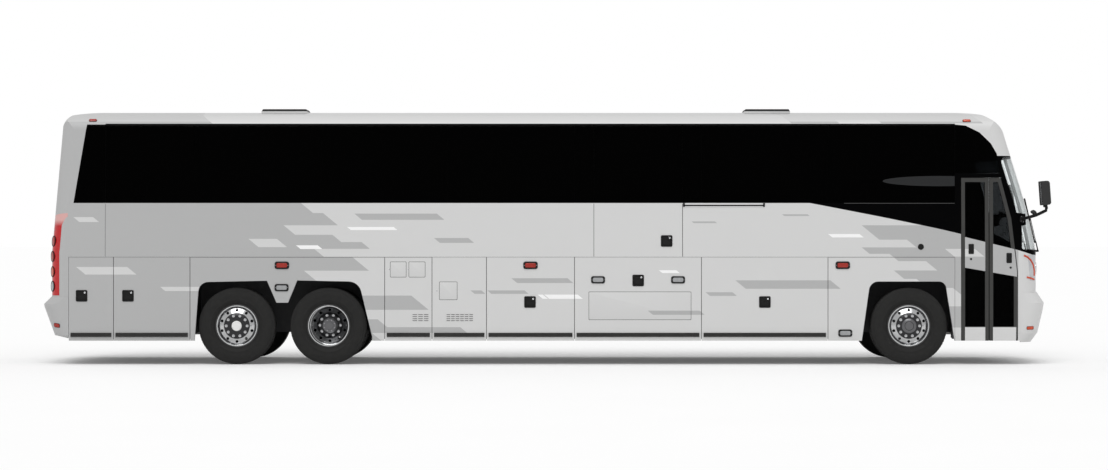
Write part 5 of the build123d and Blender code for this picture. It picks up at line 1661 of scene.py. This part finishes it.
def stage_world(level):
    """Even light all round; the camera, glass and metal see plain white."""
    world = bpy.data.worlds.new("stage_light")
    bpy.context.scene.world = world
    world.use_nodes = True
    nodes, links = world.node_tree.nodes, world.node_tree.links
    nodes.clear()
    rays = nodes.new("ShaderNodeLightPath").outputs
    seen = nodes.new("ShaderNodeMath")
    seen.operation = "MAXIMUM"
    strength = nodes.new("ShaderNodeMapRange")
    strength.inputs["To Min"].default_value = level
    shade = nodes.new("ShaderNodeBackground")
    shade.inputs["Color"].default_value = (1, 1, 1, 1)
    for source, target in (
        (rays["Is Camera Ray"], seen.inputs[0]),
        (rays["Is Transmission Ray"], seen.inputs[1]),
        (seen.outputs[0], strength.inputs["Value"]),
        (strength.outputs["Result"], shade.inputs["Strength"]),
        (shade.outputs["Background"], nodes.new("ShaderNodeOutputWorld").inputs["Surface"]),
    ):
        links.new(source, target)


def stage_lamp(name, strength, aim, angle):
    """A soft sun whose light travels along aim."""
    lamp = bpy.data.lights.new(name, "SUN")
    lamp.energy = strength
    lamp.angle = math.radians(angle)
    linked(name, lamp).rotation_euler = Vector(aim).to_track_quat("-Z", "Y").to_euler()


class SetStage(bpy.types.Operator):
    """Lay the floor, light the coach from above and set the camera square to its door side"""

    bl_idname = "coach.set_stage"
    bl_label = "Set the stage"

    def execute(self, context):
        choices = context.scene.coach_stage
        stage_floor()
        stage_world(choices.level)
        stage_lamp("key", choices.key, *KEY)
        lens = bpy.data.cameras.new("camera")
        lens.lens = choices.lens
        lens.sensor_width = 36
        lens.clip_end = 500
        camera = linked("camera", lens)
        camera.location = (choices.shift, -choices.distance, choices.eye)
        camera.rotation_euler = (math.pi / 2, 0, 0)
        context.scene.camera = camera
        context.scene.view_settings.view_transform = "Standard"
        return {"FINISHED"}


OPERATORS = (
    FinishFrame,
    BuildTyres,
    DressWheels,
    FitLatches,
    FitMarkers,
    FitFlaps,
    FitDoorGear,
    FitMirrors,
    FitWipers,
    FitLampUnits,
    BuildSeats,
    FitSeals,
    DressDash,
    DressEngine,
    SetStage,
)


# ---- panel, registration and the run ----
PROPERTY_GROUPS = {
    "coach_paint": CoachPaint,
    "coach_glass": CoachGlass,
    "coach_rubber": CoachRubber,
    "coach_fittings": CoachFittings,
    "coach_cabin": CoachCabin,
    "coach_stage": CoachStage,
}


class CoachPanel(bpy.types.Panel):
    """The coach's operators, in the order in which they run"""

    bl_idname = "VIEW3D_PT_coach"
    bl_label = "Coach bus"
    bl_space_type = "VIEW_3D"
    bl_region_type = "UI"
    bl_category = "Coach"

    def draw(self, context):
        for operator in OPERATORS:
            self.layout.operator(operator.bl_idname)


def register():
    for group in PROPERTY_GROUPS.values():
        bpy.utils.register_class(group)
    for name, group in PROPERTY_GROUPS.items():
        setattr(bpy.types.Scene, name, bpy.props.PointerProperty(type=group))
    for operator in OPERATORS:
        bpy.utils.register_class(operator)
    bpy.utils.register_class(CoachPanel)


def unregister():
    bpy.utils.unregister_class(CoachPanel)
    for operator in reversed(OPERATORS):
        bpy.utils.unregister_class(operator)
    for name, group in reversed(PROPERTY_GROUPS.items()):
        delattr(bpy.types.Scene, name)
        bpy.utils.unregister_class(group)


def main():
    register()
    for operator in OPERATORS:
        area, name = operator.bl_idname.split(".")
        getattr(getattr(bpy.ops, area), name)()


if __name__ == "__main__":
    main()
